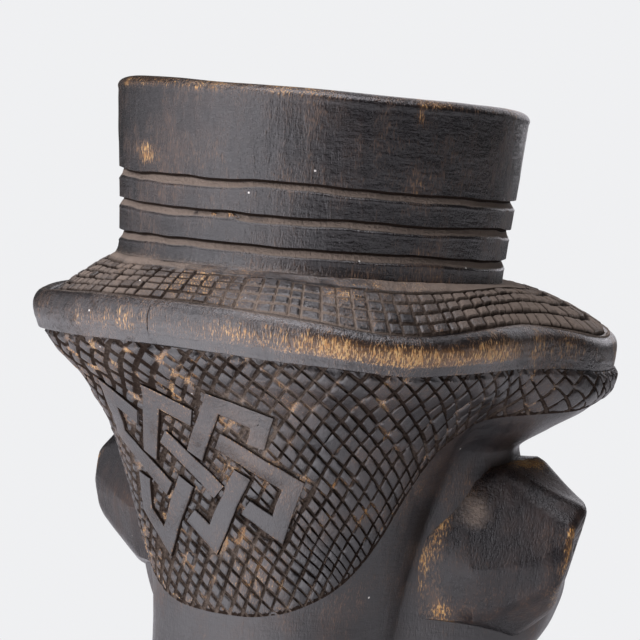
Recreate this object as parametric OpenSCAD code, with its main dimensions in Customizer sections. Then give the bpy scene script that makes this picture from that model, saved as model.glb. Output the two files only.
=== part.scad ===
// Head cup: a round drinking cup that rises from a carved head with a broad flat coiffure.
// It is cut from one block of wood. Each node is one carved member, and neighbours meet face to face.
// Millimetres. The foot stands on z = 0, the face looks to -Y and the nape to +Y.

/* [Cup] */
// Height of the lip above the foot
cup_h = 190.6; // [186:0.2:196]
// Outer diameter at the lip
lip_d = 90; // [86:1:94]
// Wall thickness at the lip
lip_t = 6; // [4:0.5:8]
// Height of the lip's rounding
lip_round = 2; // [1:0.5:3]
// Outer diameter where the collar leaves the coiffure
collar_d = 83.8; // [80:0.2:86]
// Height where the collar leaves the coiffure
collar_z = 153.4; // [151:0.2:156]
// Height of the lowest point of the hollow
bowl_floor_z = 88; // [86:1:100]
// Radius of the hollow at the top of its rounded floor
bowl_r = 33; // [30:0.5:34]
// Height of the top of the hollow's rounded floor
bowl_shoulder_z = 128; // [122:1:134]

/* [Ring grooves] */
// Number of grooves cut round the collar
groove_n = 3; // [1:1:3]
// Height of the upper groove
groove_z = 170.6; // [168:0.2:178]
// Drop from one groove to the next
groove_pitch = 6.5; // [4:0.5:6.5]
// Width of a groove
groove_w = 2; // [1:0.2:2.4]
// Depth of a groove
groove_depth = 0.9; // [0.4:0.1:1.4]

/* [Coiffure] */
// Lowest height of the brim's lower edge, at its four drooping corners
brim_z = 135.5; // [134:0.5:137]
// Height of the smooth band at the corners
band_h = 7.7; // [6:0.1:9]
// Rise of the band's lower edge between the corners
low_wave = 1.6; // [0:0.1:2]
// Rise of the band's upper edge between the corners
high_wave = 3; // [0:0.1:3.5]
// Width of the ledge that carries the band
ledge_w = 3; // [2:0.5:5]
// How far the band stands out over the head below it
band_out = 2.6; // [2:0.1:4]
// How far it stands out at the front, where the flare of the head meets it
front_out = 0.6; // [0.4:0.1:2]
// Swell of the crown over a straight slope, at the nape
crown_swell = 0.4; // [0:0.1:1]
// Swell of the crown over a straight slope, at the front
front_swell = 2; // [0:0.1:3]
// How far the hatched panel of the nape stands proud of the skin
panel_t = 0.5; // [0.4:0.1:1.2]

/* [Interlace] */
// Width of a strap
strap_w = 3.9; // [3:0.1:4.2]
// Height of a strap above the ground of its panel
strap_t = 0.6; // [0.4:0.1:1.2]
// Width of the bevel along a strap's edges
strap_bevel = 0.25; // [0.1:0.05:0.35]

/* [Neck and foot] */
// Diameter of the foot
foot_d = 86; // [80:1:96]
// Height of the foot's upright rim
foot_rim_h = 8; // [5:1:12]
// Height where the foot's flare ends and the neck begins
neck_z = 28; // [24:1:32]
// Height where the neck ends and the head begins
head_z = 50; // [48:1:52]

/* [Hidden] */
$fn = 96;

dark_wood = "#2b2422";
worn_wood = "#6e4a26";

lip_r = lip_d / 2;
collar_r = collar_d / 2;
neck_r = 28.5;
waist_r = 28;

// Sections of the head: height, then its reach to the back, to the side at the ears, across the
// cheeks and to the front, then how square the section is behind and in front.
BACK = 1; SIDE = 2; CHEEK = 3; FRONT = 4; REAR_SQ = 5; FACE_SQ = 6;
STATIONS = [
    [head_z, neck_r, neck_r, neck_r, neck_r, 2.0, 2.0],
    [58, 28.3, 28.5, 31.0, 36.0, 2.0, 2.0],
    [65, 28.2, 28.4, 41.0, 51.0, 2.0, 2.3],
    [72, 28.2, 28.6, 49.5, 60.5, 2.0, 2.6],
    [80, 28.4, 29.4, 54.0, 63.5, 2.0, 2.7],
    [87, 28.9, 30.6, 55.8, 64.0, 2.1, 2.7],
    [97, 31.3, 32.7, 54.0, 61.5, 2.2, 2.6],
    [108, 34.9, 35.9, 49.0, 58.5, 2.3, 2.3],
    [117, 38.8, 39.2, 46.0, 57.0, 2.3, 2.1],
    [122, 41.4, 42.1, 51.0, 61.5, 2.4, 2.4],
    [126.5, 44.3, 45.2, 56.5, 65.5, 2.4, 2.8],
    [131.5, 49.4, 50.4, 59.0, 67.5, 2.4, 3.4],
    [140, 55.6, 56.2, 59.2, 67.5, 2.4, 3.5]];
// Angles from the nape between which the ear side turns into the cheek
CHEEK_FROM = 88;
CHEEK_TO = 114;

// Angles from the nape of the brim's drooping corners, and how wide a droop is
CORNERS = [52, 125];
CORNER_W = 20;
// Angles from the nape between which the brim's side turns into its front
FRONT_FROM = 60;
FRONT_TO = 105;

// Lower edge of the hatched panel: angle from the nape, height. Past the last
// panel column it only guides the head's sections round the face.
PANEL_EDGE = [[0, 80], [15, 80.2], [30, 81.6], [42, 84.3], [52, 88], [60, 93.3], [66, 100], [70, 107],
              [75, 114.5], [82, 121], [95, 125.5], [125, 118], [180, 116]];
PANEL_END = 95;

// Straps of the interlace: the centre line of each, as angle from the nape and height
STRAPS = [
    [[-1.6, 113.9], [8, 125.9], [21.4, 122.9], [19.3, 117.6]],
    [[-21.5, 112.2], [-12, 125.2], [0, 122]],
    [[7.6, 117.8], [31, 109.8], [27, 100], [15.6, 104.2]],
    [[14.8, 111.2], [1.8, 95.8], [-7.4, 100.4]],
    [[-7.2, 107.8], [-22.5, 93.3], [-32.3, 99.4], [-28.4, 107.2]],
    [[-15.6, 105.4], [-35.5, 115.6], [-30.6, 124.3], [-21.2, 120]],
    [[-12.8, 116.8], [5.6, 106.6]]];
// Length of one flat step of a strap along the curved nape
STRAP_STEP = 3;
// How deep a strap beds into the flat facets of its panel
STRAP_SEAT = 0.05;

// Sections of the right ear: at its root inside the head, at its shoulder and at its outer face.
// Each runs down the back, forward underneath and up the front.
EAR = [
    [[-26, 0, 107], [-26, 0, 93], [-26, -3, 83], [-26, -14, 79], [-26, -26, 81],
     [-26, -32, 90], [-26, -32, 104], [-26, -24, 113], [-26, -9, 113]],
    [[-45, -3, 106], [-45, -3.5, 93.5], [-45, -7.5, 83.5], [-49.5, -16, 78], [-47, -26, 80],
     [-46, -33, 90], [-47, -34, 102], [-48.5, -24, 115.3], [-46, -11, 113]],
    [[-62, -12.5, 103], [-61.9, -11.4, 96.5], [-60.2, -11.2, 91], [-57.5, -15, 85.5], [-54, -23.5, 84.5],
     [-54, -28.5, 91], [-56.5, -28.5, 101], [-59.5, -24, 106.3], [-61.8, -18.5, 107]]];

// Steps round the head, and rows of sections below and above the panel's lower edge
AROUND = 72;
LOW_ROWS = 13;
HIGH_ROWS = 10;
SLOPE_ROWS = 4;

function lerp(a, b, t) = a + (b - a) * t;
function clamp(t) = min(max(t, 0), 1);
function smooth(t) = let (u = clamp(t)) u * u * (3 - 2 * u);

// A smooth curve through rows of a table that never swings past them: column k against column 0
function grade(tab, k, i) = (tab[i + 1][k] - tab[i][k]) / (tab[i + 1][0] - tab[i][0]);
function tangent(tab, k, i) =
    i == 0 ? grade(tab, k, 0) :
    i == len(tab) - 1 ? grade(tab, k, i - 1) :
    let (a = grade(tab, k, i - 1), b = grade(tab, k, i)) a * b <= 0 ? 0 : 2 * a * b / (a + b);
function curve(tab, k, x) =
    let (i = max([for (j = [0 : len(tab) - 2]) if (j == 0 || x >= tab[j][0]) j]),
         h = tab[i + 1][0] - tab[i][0],
         t = (x - tab[i][0]) / h)
    lerp(tab[i][k], tab[i + 1][k], t * t * (3 - 2 * t))
    + h * t * (1 - t) * ((1 - t) * tangent(tab, k, i) - t * tangent(tab, k, i + 1));

// A point at angle b from the nape, turning towards the right ear, at radius r and height z
function at(b, r, z) = [-r * sin(b), r * cos(b), z];
function oval(b, wide, deep, sq) =
    pow(pow(abs(sin(b)) / wide, sq) + pow(abs(cos(b)) / deep, sq), -1 / sq);
function turn(b) = abs(b > 180 ? b - 360 : b);

// Radius of the bare head at angle b and height z
function head_r(b, z) =
    let (side = curve(STATIONS, SIDE, z),
         deep = turn(b) < 90 ? curve(STATIONS, BACK, z) : side,
         rear = oval(b, side, deep, curve(STATIONS, REAR_SQ, z)),
         face = oval(b, curve(STATIONS, CHEEK, z), curve(STATIONS, FRONT, z), curve(STATIONS, FACE_SQ, z)))
    lerp(rear, face, smooth((turn(b) - CHEEK_FROM) / (CHEEK_TO - CHEEK_FROM)));

function droop(b) = min(1, exp(-pow((turn(b) - CORNERS[0]) / CORNER_W, 2))
                         + exp(-pow((turn(b) - CORNERS[1]) / CORNER_W, 2)));
function brim_low(b) = brim_z + low_wave * (1 - droop(b));
function brim_high(b) = brim_z + band_h + high_wave * (1 - droop(b));
function brim_r(b) = head_r(b, brim_low(b));
function panel_low(b) = curve(PANEL_EDGE, 1, turn(b));

// How far the brim at angle b has turned into its front
function front_share(b) = smooth((turn(b) - FRONT_FROM) / (FRONT_TO - FRONT_FROM));
function band_reach(b) = lerp(band_out, front_out, front_share(b));
function swell(b, t) = lerp(crown_swell, front_swell, front_share(b)) * 4 * t * (1 - t);

// Heights of the rows of sections at angle b, from the neck to the brim
function rows(b) = concat(
    [for (i = [0 : LOW_ROWS - 1]) lerp(head_z, panel_low(b), i / LOW_ROWS)],
    [for (i = [0 : HIGH_ROWS]) lerp(panel_low(b), brim_low(b), i / HIGH_ROWS)]);

// Radius of the hollow at height z
function bowl_at(z) = z < bowl_shoulder_z
    ? bowl_r * sqrt(max(0, 1 - pow((bowl_shoulder_z - z) / (bowl_shoulder_z - bowl_floor_z), 2)))
    : lerp(bowl_r, lip_r - lip_t, (z - bowl_shoulder_z) / (cup_h - bowl_shoulder_z));
function collar_at(z) = lerp(collar_r, lip_r, (z - collar_z) / (cup_h - collar_z));

// A skin over a row of loops with equal numbers of points; each loop runs anticlockwise as seen
// from the loops after it. Its ends are closed by fans, or the last loop joins the first.
module skin(loops, wrap = false) {
    m = len(loops[0]);
    n = len(loops);
    sides = [for (s = [0 : n - (wrap ? 1 : 2)], p = [0 : m - 1])
        let (q = (p + 1) % m, a = s * m, b = (s + 1) % n * m)
        each [[a + p, b + p, b + q], [a + p, b + q, a + q]]];
    caps = wrap ? [] : [for (p = [0 : m - 1])
        let (q = (p + 1) % m, top = (n - 1) * m) each [[n * m, p, q], [n * m + 1, top + q, top + p]]];
    middle = function (loop) [for (k = [0 : 2]) [for (p = loop) p[k]] * [for (p = loop) 1] / m];
    ends = wrap ? [] : [middle(loops[0]), middle(loops[n - 1])];
    polyhedron([for (loop = loops) each loop, each ends], concat(sides, caps), convexity = 8);
}

AROUND_B = [for (j = [0 : AROUND - 1]) j * 360 / AROUND];

// Loop round the head at row i, and the loop at the inner edge of the band's ledge
function head_loop(i) = [for (b = AROUND_B) let (z = rows(b)[i]) at(b, head_r(b, z), z)];
function ledge_loop(rise) = [for (b = AROUND_B)
    at(b, brim_r(b) - ledge_w, rise ? brim_high(b) : brim_low(b))];

module head_form() {
    skin([for (i = [0 : LOW_ROWS + HIGH_ROWS]) head_loop(i), ledge_loop(false)]);
}

module hollow() {
    floor_steps = 12;
    rotate_extrude() polygon([
        for (i = [0 : floor_steps]) let (a = 90 * i / floor_steps)
            [bowl_r * sin(a), bowl_shoulder_z - (bowl_shoulder_z - bowl_floor_z) * cos(a)],
        [lip_r - lip_t, cup_h], [0, cup_h]]);
}

module cup_collar() {
    lip_steps = 8;
    half = lip_t / 2;
    groove_zs = [for (i = [groove_n - 1 : -1 : 0]) groove_z - i * groove_pitch];
    color(dark_wood) rotate_extrude() polygon([
        [bowl_at(collar_z), collar_z], [collar_r, collar_z],
        for (z = groove_zs) each [
            [collar_at(z - groove_w / 2), z - groove_w / 2],
            [collar_at(z) - groove_depth, z],
            [collar_at(z + groove_w / 2), z + groove_w / 2]],
        for (i = [0 : lip_steps]) let (a = 180 * i / lip_steps)
            [lip_r - half + half * cos(a), cup_h - lip_round + lip_round * sin(a)]]);
}

// The hatched crown: from the band's ledge up to the round foot of the collar
module coiffure_top() {
    slope = [for (i = [1 : SLOPE_ROWS]) let (t = i / SLOPE_ROWS)
        [for (b = AROUND_B) at(b, lerp(brim_r(b) - ledge_w, collar_r, t),
                               lerp(brim_high(b), collar_z, t) + swell(b, t))]];
    color(dark_wood) difference() {
        skin([ledge_loop(false), ledge_loop(true), each slope]);
        hollow();
    }
}

// The smooth worn band round the brim: widest near its top, drawn in to its lower edge
module brim_band() {
    profile = function (b) let (h = brim_high(b) - brim_low(b), out = band_reach(b)) [
        [-ledge_w, 0], [out * 0.4, 0], [out * 0.77, h * 0.24], [out * 0.92, h * 0.5],
        [out, h * 0.75], [out * 0.85, h * 0.93], [out * 0.46, h], [-ledge_w, h]];
    loops = [for (b = AROUND_B) [for (p = profile(b)) at(b, brim_r(b) + p[0], brim_low(b) + p[1])]];
    around = [for (p = [0 : len(loops[0]) - 1]) [for (j = [0 : AROUND - 1]) loops[j][p]]];
    color(worn_wood) skin(around, wrap = true);
}

module head() {
    color(dark_wood) difference() {
        head_form();
        hollow();
    }
}

// The proud panel of hatched hair on the nape, seated on the rows of the head
module nape_panel() {
    bevel = panel_t;
    step = 360 / AROUND;
    loops = [for (b = [-PANEL_END : step : PANEL_END])
        let (zs = [for (i = [LOW_ROWS : LOW_ROWS + HIGH_ROWS]) rows(b)[i]])
        concat([for (i = [HIGH_ROWS : -1 : 0])
                   at(b, head_r(b, zs[i]) + panel_t, i == 0 ? zs[i] + bevel : zs[i])],
               [for (i = [0 : HIGH_ROWS]) at(b, head_r(b, zs[i]), zs[i])])];
    color(dark_wood) skin(loops);
}

function unit(v) = v / norm(v);
function mm_per_deg(p) = head_r(p[0], p[1]) * PI / 180;
function heading(p, q) = let (k = mm_per_deg((p + q) / 2)) unit([(q[0] - p[0]) * k, q[1] - p[1]]);
function left(d) = [-d[1], d[0]];

// Points along a strap with the step to its left edge at each, mitred at the corners
function strap_path(route) = [for (i = [0 : len(route) - 2])
    let (p = route[i], q = route[i + 1], d = heading(p, q),
         before = i == 0 ? d : heading(route[i - 1], p),
         after = i == len(route) - 2 ? d : heading(q, route[i + 2]),
         mitre = function (e) let (v = unit(left(d) + left(e))) v * strap_w / 2 / (v * left(d)),
         n = ceil(norm([(q[0] - p[0]) * mm_per_deg(p), q[1] - p[1]]) / STRAP_STEP),
         last = i == len(route) - 2 ? n : n - 1)
    each [for (s = [0 : last]) [lerp(p, q, s / n),
        s == 0 ? mitre(before) : s == n ? mitre(after) : left(d) * strap_w / 2]]];

module strap(route) {
    place = function (p, side, h) let (b = p[0] + side[0] / mm_per_deg(p), z = p[1] + side[1])
        at(b, head_r(b, z) + panel_t + h, z);
    narrow = 1 - 2 * strap_bevel / strap_w;
    skin([for (s = strap_path(route)) [
        place(s[0], s[1], -STRAP_SEAT), place(s[0], s[1], strap_t - strap_bevel),
        place(s[0], s[1] * narrow, strap_t), place(s[0], -s[1] * narrow, strap_t),
        place(s[0], -s[1], strap_t - strap_bevel), place(s[0], -s[1], -STRAP_SEAT)]]);
}

// The interlace: straps that pass over and under, each cut off where it goes under its neighbour
module nape_interlace() {
    color(dark_wood) for (route = STRAPS) strap(route);
}

module ear() {
    color(dark_wood) difference() {
        skin(EAR);
        head_form();
    }
}

module right_ear() { ear(); }
module left_ear() { mirror([1, 0, 0]) ear(); }

// A rounded ridge carved on the face along a spine. Each row of the spine has its angle from the
// nape, its height, and the half width and rise of the ridge there.
RIDGE_N = 8;
module ridge(spine) {
    sink = 3;
    last = len(spine) - 1;
    loops = [for (i = [0 : last])
        let (s = spine[i], p = [s[0], s[1]], q = spine[min(i + 1, last)], o = spine[max(i - 1, 0)],
             across = left(heading([o[0], o[1]], [q[0], q[1]])))
        [for (k = [-1 : RIDGE_N + 1])
            let (a = 180 * clamp(k / RIDGE_N), side = across * s[2] * cos(a),
                 h = k < 0 || k > RIDGE_N ? -sink : s[3] * sin(a),
                 b = p[0] + side[0] / mm_per_deg(p), z = p[1] + side[1])
            at(b, head_r(b, z) + h, z)]];
    color(dark_wood) difference() {
        skin(loops);
        head_form();
    }
}

function bow(t) = 1 - t * t;
SPAN = [for (i = [-5 : 5]) i / 5];

EYE_B = 156;
EYE_Z = 103;

// A closed almond eye
module eye() {
    reach = 10;
    ridge([for (t = SPAN) [EYE_B + reach * t, EYE_Z, 0.2 + 4.2 * bow(t), 0.1 + 2.6 * bow(t)]]);
}
module right_eye() { eye(); }
module left_eye() { mirror([1, 0, 0]) eye(); }

// An arched brow over the eye
module brow() {
    reach = 14;
    rise = 10;
    drop = 5;
    ridge([for (t = SPAN) [EYE_B - 1 + reach * t, EYE_Z + rise - drop * t * t,
                           2.4 - 1.2 * t * t, 2.2 - 1.4 * t * t]]);
}
module right_brow() { brow(); }
module left_brow() { mirror([1, 0, 0]) brow(); }

// A straight nose that widens and rises to its tip
module nose() {
    top_z = 106;
    tip_z = 85;
    ridge([for (t = [0 : 0.1 : 1]) [180, lerp(top_z, tip_z, t), 2.6 + 6.4 * t * t, 1.5 + 6 * t],
           [180, tip_z - 1.5, 8, 3.5]]);
}

// One lip: widest and fullest in the middle, fading to the corners of the mouth
module lip(z, half_w, rise, lift) {
    reach = 13;
    ridge([for (t = SPAN) [180 + reach * t, z + lift * t * t, 0.3 + half_w * bow(t), 0.2 + rise * bow(t)]]);
}
module upper_lip() { lip(77.6, 2.5, 3.4, -1.6); }
module lower_lip() { lip(72.4, 2.2, 3, 1.2); }

module neck() {
    color(dark_wood) rotate_extrude() polygon([[0, neck_z], [waist_r, neck_z],
        [waist_r, lerp(neck_z, head_z, 0.5)], [neck_r, head_z], [0, head_z]]);
}

// The flared foot: an upright rim with a rounded edge, drawn in by a hollow curve to the neck
module foot() {
    foot_r = foot_d / 2;
    edge = 2;
    steps = 10;
    color(dark_wood) rotate_extrude() polygon([
        [0, 0], [foot_r - edge, 0], [foot_r, edge], [foot_r, foot_rim_h - edge], [foot_r - edge, foot_rim_h],
        for (i = [0 : steps]) let (a = 90 * i / steps)
            [foot_r - 2 * edge - (foot_r - 2 * edge - waist_r) * sin(a),
             neck_z - (neck_z - foot_rim_h) * cos(a)],
        [0, neck_z]]);
}

cup_collar();
coiffure_top();
brim_band();
head();
nape_panel();
nape_interlace();
right_ear();
left_ear();
right_eye();
left_eye();
right_brow();
left_brow();
nose();
upper_lip();
lower_lip();
neck();
foot();
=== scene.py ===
# %% [markdown]
# # A carved head cup
#
# The object is a drinking cup cut from one block of dark wood. A round cup collar rises from a head with
# a broad, flat coiffure. The nape carries a panel of cross-hatched hair with an interlaced knot.
# Everything was cut with a blade by hand, so no line is quite straight and no surface quite even, and
# years of handling wore the stain off the high edges.
#
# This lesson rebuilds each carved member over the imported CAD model, in the same frame. Lengths in the
# formulas are millimetres, because a carver thinks in them, and one factor turns them into Blender's
# metres.

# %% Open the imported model
import itertools
import math

import bmesh
import bpy
import numpy as np
from mathutils import Matrix, Vector


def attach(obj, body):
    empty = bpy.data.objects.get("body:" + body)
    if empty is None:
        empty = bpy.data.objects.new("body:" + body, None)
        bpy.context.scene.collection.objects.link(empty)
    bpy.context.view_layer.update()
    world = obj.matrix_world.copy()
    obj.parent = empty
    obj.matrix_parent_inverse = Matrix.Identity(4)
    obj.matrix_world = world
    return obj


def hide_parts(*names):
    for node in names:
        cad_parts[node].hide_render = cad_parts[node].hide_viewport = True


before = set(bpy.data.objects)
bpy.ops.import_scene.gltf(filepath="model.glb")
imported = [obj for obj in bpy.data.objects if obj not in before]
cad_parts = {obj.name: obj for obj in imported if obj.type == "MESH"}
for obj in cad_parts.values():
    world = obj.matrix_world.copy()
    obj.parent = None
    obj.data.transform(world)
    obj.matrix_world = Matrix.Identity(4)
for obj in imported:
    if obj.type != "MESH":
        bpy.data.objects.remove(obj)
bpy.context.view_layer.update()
MM = 0.001

# %% [markdown]
# ## Where the camera stood
#
# The cup is seen from behind, turned towards its right ear, by a lens at the height of the ring grooves.
# Matching the rim's ellipse, the grooves and the collar's foot gave the place, the turn and the long
# focal length. The picture also leans a little, so the camera rolls. A camera matrix has its right, up
# and backward directions as columns.

# %% Camera
EYE_TURN, EYE_REACH, EYE_HEIGHT = math.radians(31), 0.483, 0.1743
PAN, PITCH, ROLL = math.radians(-0.35), math.radians(3.86), math.radians(4.7)
FOCAL_PX, PHOTO_PX, SENSOR_MM = 2200, 640, 36


def photo_camera():
    lens = bpy.data.cameras.new("photo_camera")
    lens.sensor_width = SENSOR_MM
    lens.lens = FOCAL_PX / PHOTO_PX * SENSOR_MM
    lens.clip_start, lens.clip_end = 0.01, 20
    yaw = EYE_TURN + PAN
    level = Vector((math.sin(yaw), -math.cos(yaw), 0))
    right = level.cross((0, 0, 1))
    look = level * math.cos(PITCH) - Vector((0, 0, 1)) * math.sin(PITCH)
    up = right.cross(look)
    tilted_right = right * math.cos(ROLL) + up * math.sin(ROLL)
    tilted_up = up * math.cos(ROLL) - right * math.sin(ROLL)
    eye = Vector((-math.sin(EYE_TURN) * EYE_REACH, math.cos(EYE_TURN) * EYE_REACH, EYE_HEIGHT))
    axes = Matrix((tilted_right, tilted_up, -look)).transposed().to_4x4()
    camera = bpy.data.objects.new("photo_camera", lens)
    camera.matrix_world = Matrix.Translation(eye) @ axes
    bpy.context.scene.collection.objects.link(camera)
    bpy.context.scene.camera = camera
    return camera


camera = photo_camera()
print("camera at", [round(c, 3) for c in camera.location], "lens", round(camera.data.lens, 2), "mm")

# %% [markdown]
# ## Node helpers
#
# Materials here are small networks. They could be drawn by hand in the shader editor, but a script has to
# build the same network for each finish. So one helper adds a node and sets its sockets, and a linked
# socket is simply given as a value.


# %% Node helpers
def feed(tree, socket, value):
    """Links an output to a socket, or sets the socket to a plain value."""
    if isinstance(value, bpy.types.NodeSocket):
        tree.links.new(value, socket)
    else:
        socket.default_value = value


def add_node(tree, kind, **sockets):
    """Adds a node. A keyword is a socket or a property; an output socket as its value is linked."""
    made = tree.nodes.new(kind)
    for key, value in sockets.items():
        name = key.replace("_", " ")
        if hasattr(made, key) and name not in made.inputs:
            setattr(made, key, value)
        else:
            feed(tree, made.inputs[name], value)
    return made


def math_node(tree, operation, first, second=0.0):
    made = add_node(tree, "ShaderNodeMath", operation=operation)
    feed(tree, made.inputs[0], first)
    feed(tree, made.inputs[1], second)
    return made.outputs[0]


print("node helpers: feed, add_node, math_node")

# %% [markdown]
# ## Mixing helpers
#
# Stain, wear and dirt are blends, so the next helpers add up patterns by their shares, stretch a value
# with soft ends and blend two colours or two shaders.


# %% Mixing helpers
def mixed(tree, *terms):
    """The sum of sockets, each times its own share."""
    total = 0.0
    for value, share in terms:
        total = math_node(tree, "ADD", total, math_node(tree, "MULTIPLY", value, share))
    return total


def spread(tree, value, low, high, to_low=0.0, to_high=1.0):
    """A value between low and high, stretched to another range with soft ends."""
    made = add_node(tree, "ShaderNodeMapRange", interpolation_type="SMOOTHSTEP", From_Min=low, From_Max=high,
                    To_Min=to_low, To_Max=to_high, Value=value)
    return made.outputs[0]


def blend_colour(tree, factor, first, second):
    made = add_node(tree, "ShaderNodeMix", data_type="RGBA")
    feed(tree, made.inputs[0], factor)
    for socket, colour in ((made.inputs[6], first), (made.inputs[7], second)):
        feed(tree, socket, (*colour, 1) if isinstance(colour, tuple) else colour)
    return made.outputs[2]


def output_mix(tree, output, factor, first, second):
    """Sends a mix of two shaders to a new output node."""
    both = tree.nodes.new("ShaderNodeMixShader")
    for socket, source in zip(both.inputs, (factor, first, second)):
        tree.links.new(source, socket)
    tree.links.new(both.outputs[0], tree.nodes.new(output).inputs[0])


def new_material(name):
    material = bpy.data.materials.new(name)
    material.use_nodes = True
    material.node_tree.nodes.clear()
    return material, material.node_tree


print("mixing helpers: mixed, spread, blend_colour, output_mix")

# %% [markdown]
# ## Studio
#
# The picture has a white, seamless background and daylight from one huge window on the left. The collar
# mirrors it as an even grey that stops a little left of the middle. Two panels make the window: a bright
# one behind the camera's left shoulder and a weaker one further round. A pale card on the table lights
# what faces down, a soft lamp above the crown, and a weak one the face. The right side of the room is
# dark.

# %% Lamps
DAYLIGHT = (0.97, 0.94, 1.0)
LAMPS = {
    "near_window": dict(place=(0.285, 1.06, 0.55), aim=(0, 0, 0.55), size=(0.98, 1.1), power=11.5),
    "far_window": dict(place=(1.01, 0.43, 0.55), aim=(0, 0, 0.55), size=(1.22, 1.1), power=3.8),
    "table_card": dict(place=(0.12, 0.30, 0.012), aim=(0.12, 0.30, 1), size=(0.46, 0.46), power=1.2),
    "top_soft": dict(place=(0.0, 0.25, 1.2), aim=(0, 0, 0.12), size=(1.0, 1.0), power=15),
    "face_side": dict(place=(0.2, -1.1, 0.55), aim=(0, 0, 0.11), size=(0.8, 0.8), power=2.4),
}


def soft_lamp(name, place, aim, size, power):
    light = bpy.data.lights.new(name, "AREA")
    light.shape, light.energy, light.color = "RECTANGLE", power, DAYLIGHT
    light.size, light.size_y = size
    lamp = bpy.data.objects.new(name, light)
    lamp.location, lamp.visible_camera = place, False
    lamp.rotation_euler = (Vector(aim) - Vector(place)).to_track_quat("-Z", "Y").to_euler()
    bpy.context.scene.collection.objects.link(lamp)


for name, lamp in LAMPS.items():
    soft_lamp(name, **lamp)
print("lamps:", list(LAMPS))

# %% [markdown]
# ## White room and pale floor
#
# Only the camera sees the white of the background; to the object the room is dim, so that the lamps alone
# shape it. The floor keeps the shadow near the foot and fades to the same white further out, so that no
# horizon shows.

# %% World and floor
BACKGROUND, ROOM_LIGHT = (0.865, 0.87, 0.885), 0.07
PAPER_TONES, PAPER_SCALE = ((0.80, 0.80, 0.81), (0.84, 0.84, 0.85)), 900.0
FLOOR_RADIUS, FLOOR_FADE = 6, (0.10, 0.28)


def studio_world():
    world = bpy.data.worlds.new("white_studio")
    world.use_nodes = True
    tree = world.node_tree
    tree.nodes.clear()
    seen = add_node(tree, "ShaderNodeLightPath").outputs["Is Camera Ray"]
    room = add_node(tree, "ShaderNodeBackground", Color=(1, 1, 1, 1), Strength=ROOM_LIGHT)
    white = add_node(tree, "ShaderNodeBackground", Color=(*BACKGROUND, 1), Strength=1.0)
    output_mix(tree, "ShaderNodeOutputWorld", seen, room.outputs[0], white.outputs[0])
    bpy.context.scene.world = world


def floor_paper():
    material, tree = new_material("pale_floor")
    far = add_node(tree, "ShaderNodeVectorMath", operation="LENGTH",
                   Vector=add_node(tree, "ShaderNodeTexCoord").outputs["Object"]).outputs["Value"]
    paper = add_node(tree, "ShaderNodeTexNoise", Scale=PAPER_SCALE, Detail=3.0).outputs[0]
    tone = blend_colour(tree, spread(tree, paper, 0.3, 0.7), *PAPER_TONES)
    sheet = add_node(tree, "ShaderNodeBsdfDiffuse", Color=tone)
    white = add_node(tree, "ShaderNodeEmission", Color=(*BACKGROUND, 1), Strength=1.0)
    seen = add_node(tree, "ShaderNodeLightPath").outputs["Is Camera Ray"]
    fade = math_node(tree, "MULTIPLY", spread(tree, far, *FLOOR_FADE), seen)
    output_mix(tree, "ShaderNodeOutputMaterial", fade, sheet.outputs[0], white.outputs[0])
    return material


def pale_floor():
    disc = bmesh.new()
    bmesh.ops.create_circle(disc, cap_ends=True, segments=96, radius=FLOOR_RADIUS)
    mesh = bpy.data.meshes.new("studio_floor")
    disc.to_mesh(mesh)
    disc.free()
    mesh.materials.append(floor_paper())
    floor = bpy.data.objects.new("studio_floor", mesh)
    bpy.context.scene.collection.objects.link(floor)


bpy.context.scene.view_settings.view_transform = "Standard"
studio_world()
pale_floor()
print("a white room and a floor of", FLOOR_RADIUS, "m radius")

# %% [markdown]
# ## Stained and worn wood
#
# The wood is stained nearly black and rubbed to a satin sheen. Its fibres run up the block. Where hands
# rub it the stain is gone and golden wood shows in short upright flecks. Pale dust sits in shallow cuts.
# Deep cuts and the hollows under edges are darkened, partly as grime and partly as painted shade. Noise
# alone could not place them: only the carving knows where its edges and grooves are, so the points of
# each piece carry up to three marks: wear, dust, and grime with painted shade. The material breaks them
# up with its own patterns, so that no mark has a clean outline.

# %% Colours and patterns of the wood
STAIN_DEEP, STAIN_BROWN = (0.0080, 0.0070, 0.0078), (0.0330, 0.0215, 0.0180)
RUBBED, TAN = (0.082, 0.048, 0.029), (0.150, 0.075, 0.030)
GOLDEN, PALE_GOLD = (0.35, 0.170, 0.045), (0.52, 0.33, 0.13)
# The third colour here is dark grime, also laid on as painted shade in cuts and under edges.
DUST, GRIME_AND_SHADE, SPECK = (0.220, 0.178, 0.146), (0.018, 0.012, 0.009), (0.62, 0.60, 0.56)
DIRECTIONS = {"upright": (1.0, 1.0, 0.2), "level": (0.22, 0.22, 1.0), "none": (1.0, 1.0, 1.0)}
PATTERNS = {  # direction, scale, detail
    "fibre": ("upright", 3400.0, 3.0), "streak": ("upright", 420.0, 4.0), "strokes": ("level", 900.0, 2.0),
    "mottle": ("none", 75.0, 6.0), "blotch": ("none", 28.0, 3.0), "grit": ("none", 1500.0, 2.0)}


def wood_patterns(tree):
    """Noise sockets by name, and the place on the object that they are read at."""
    sockets = {"place": add_node(tree, "ShaderNodeTexCoord").outputs["Object"]}
    for name, (direction, scale, detail) in PATTERNS.items():
        along = add_node(tree, "ShaderNodeMapping", Scale=DIRECTIONS[direction], Vector=sockets["place"])
        sockets[name] = add_node(tree, "ShaderNodeTexNoise", Vector=along.outputs[0], Scale=scale,
                                 Detail=detail, Roughness=0.6).outputs[0]
    return sockets


def mark(tree, name):
    return add_node(tree, "ShaderNodeAttribute", attribute_name=name).outputs["Fac"]


print("wood patterns:", list(PATTERNS))

# %% [markdown]
# ## Bare wood, dirt, painted shade and specks
#
# Three functions lay the colour on in the order in which it came to the cup: the stain with its rubbed
# and bare places, then grime, painted shade and dust, then a few pale specks. The first two also hand on
# the masks that the shine needs.

# %% Bare wood, dirt, painted shade and specks
SPECK_GRID, SPECK_SHARE = 150.0, 0.55


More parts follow.
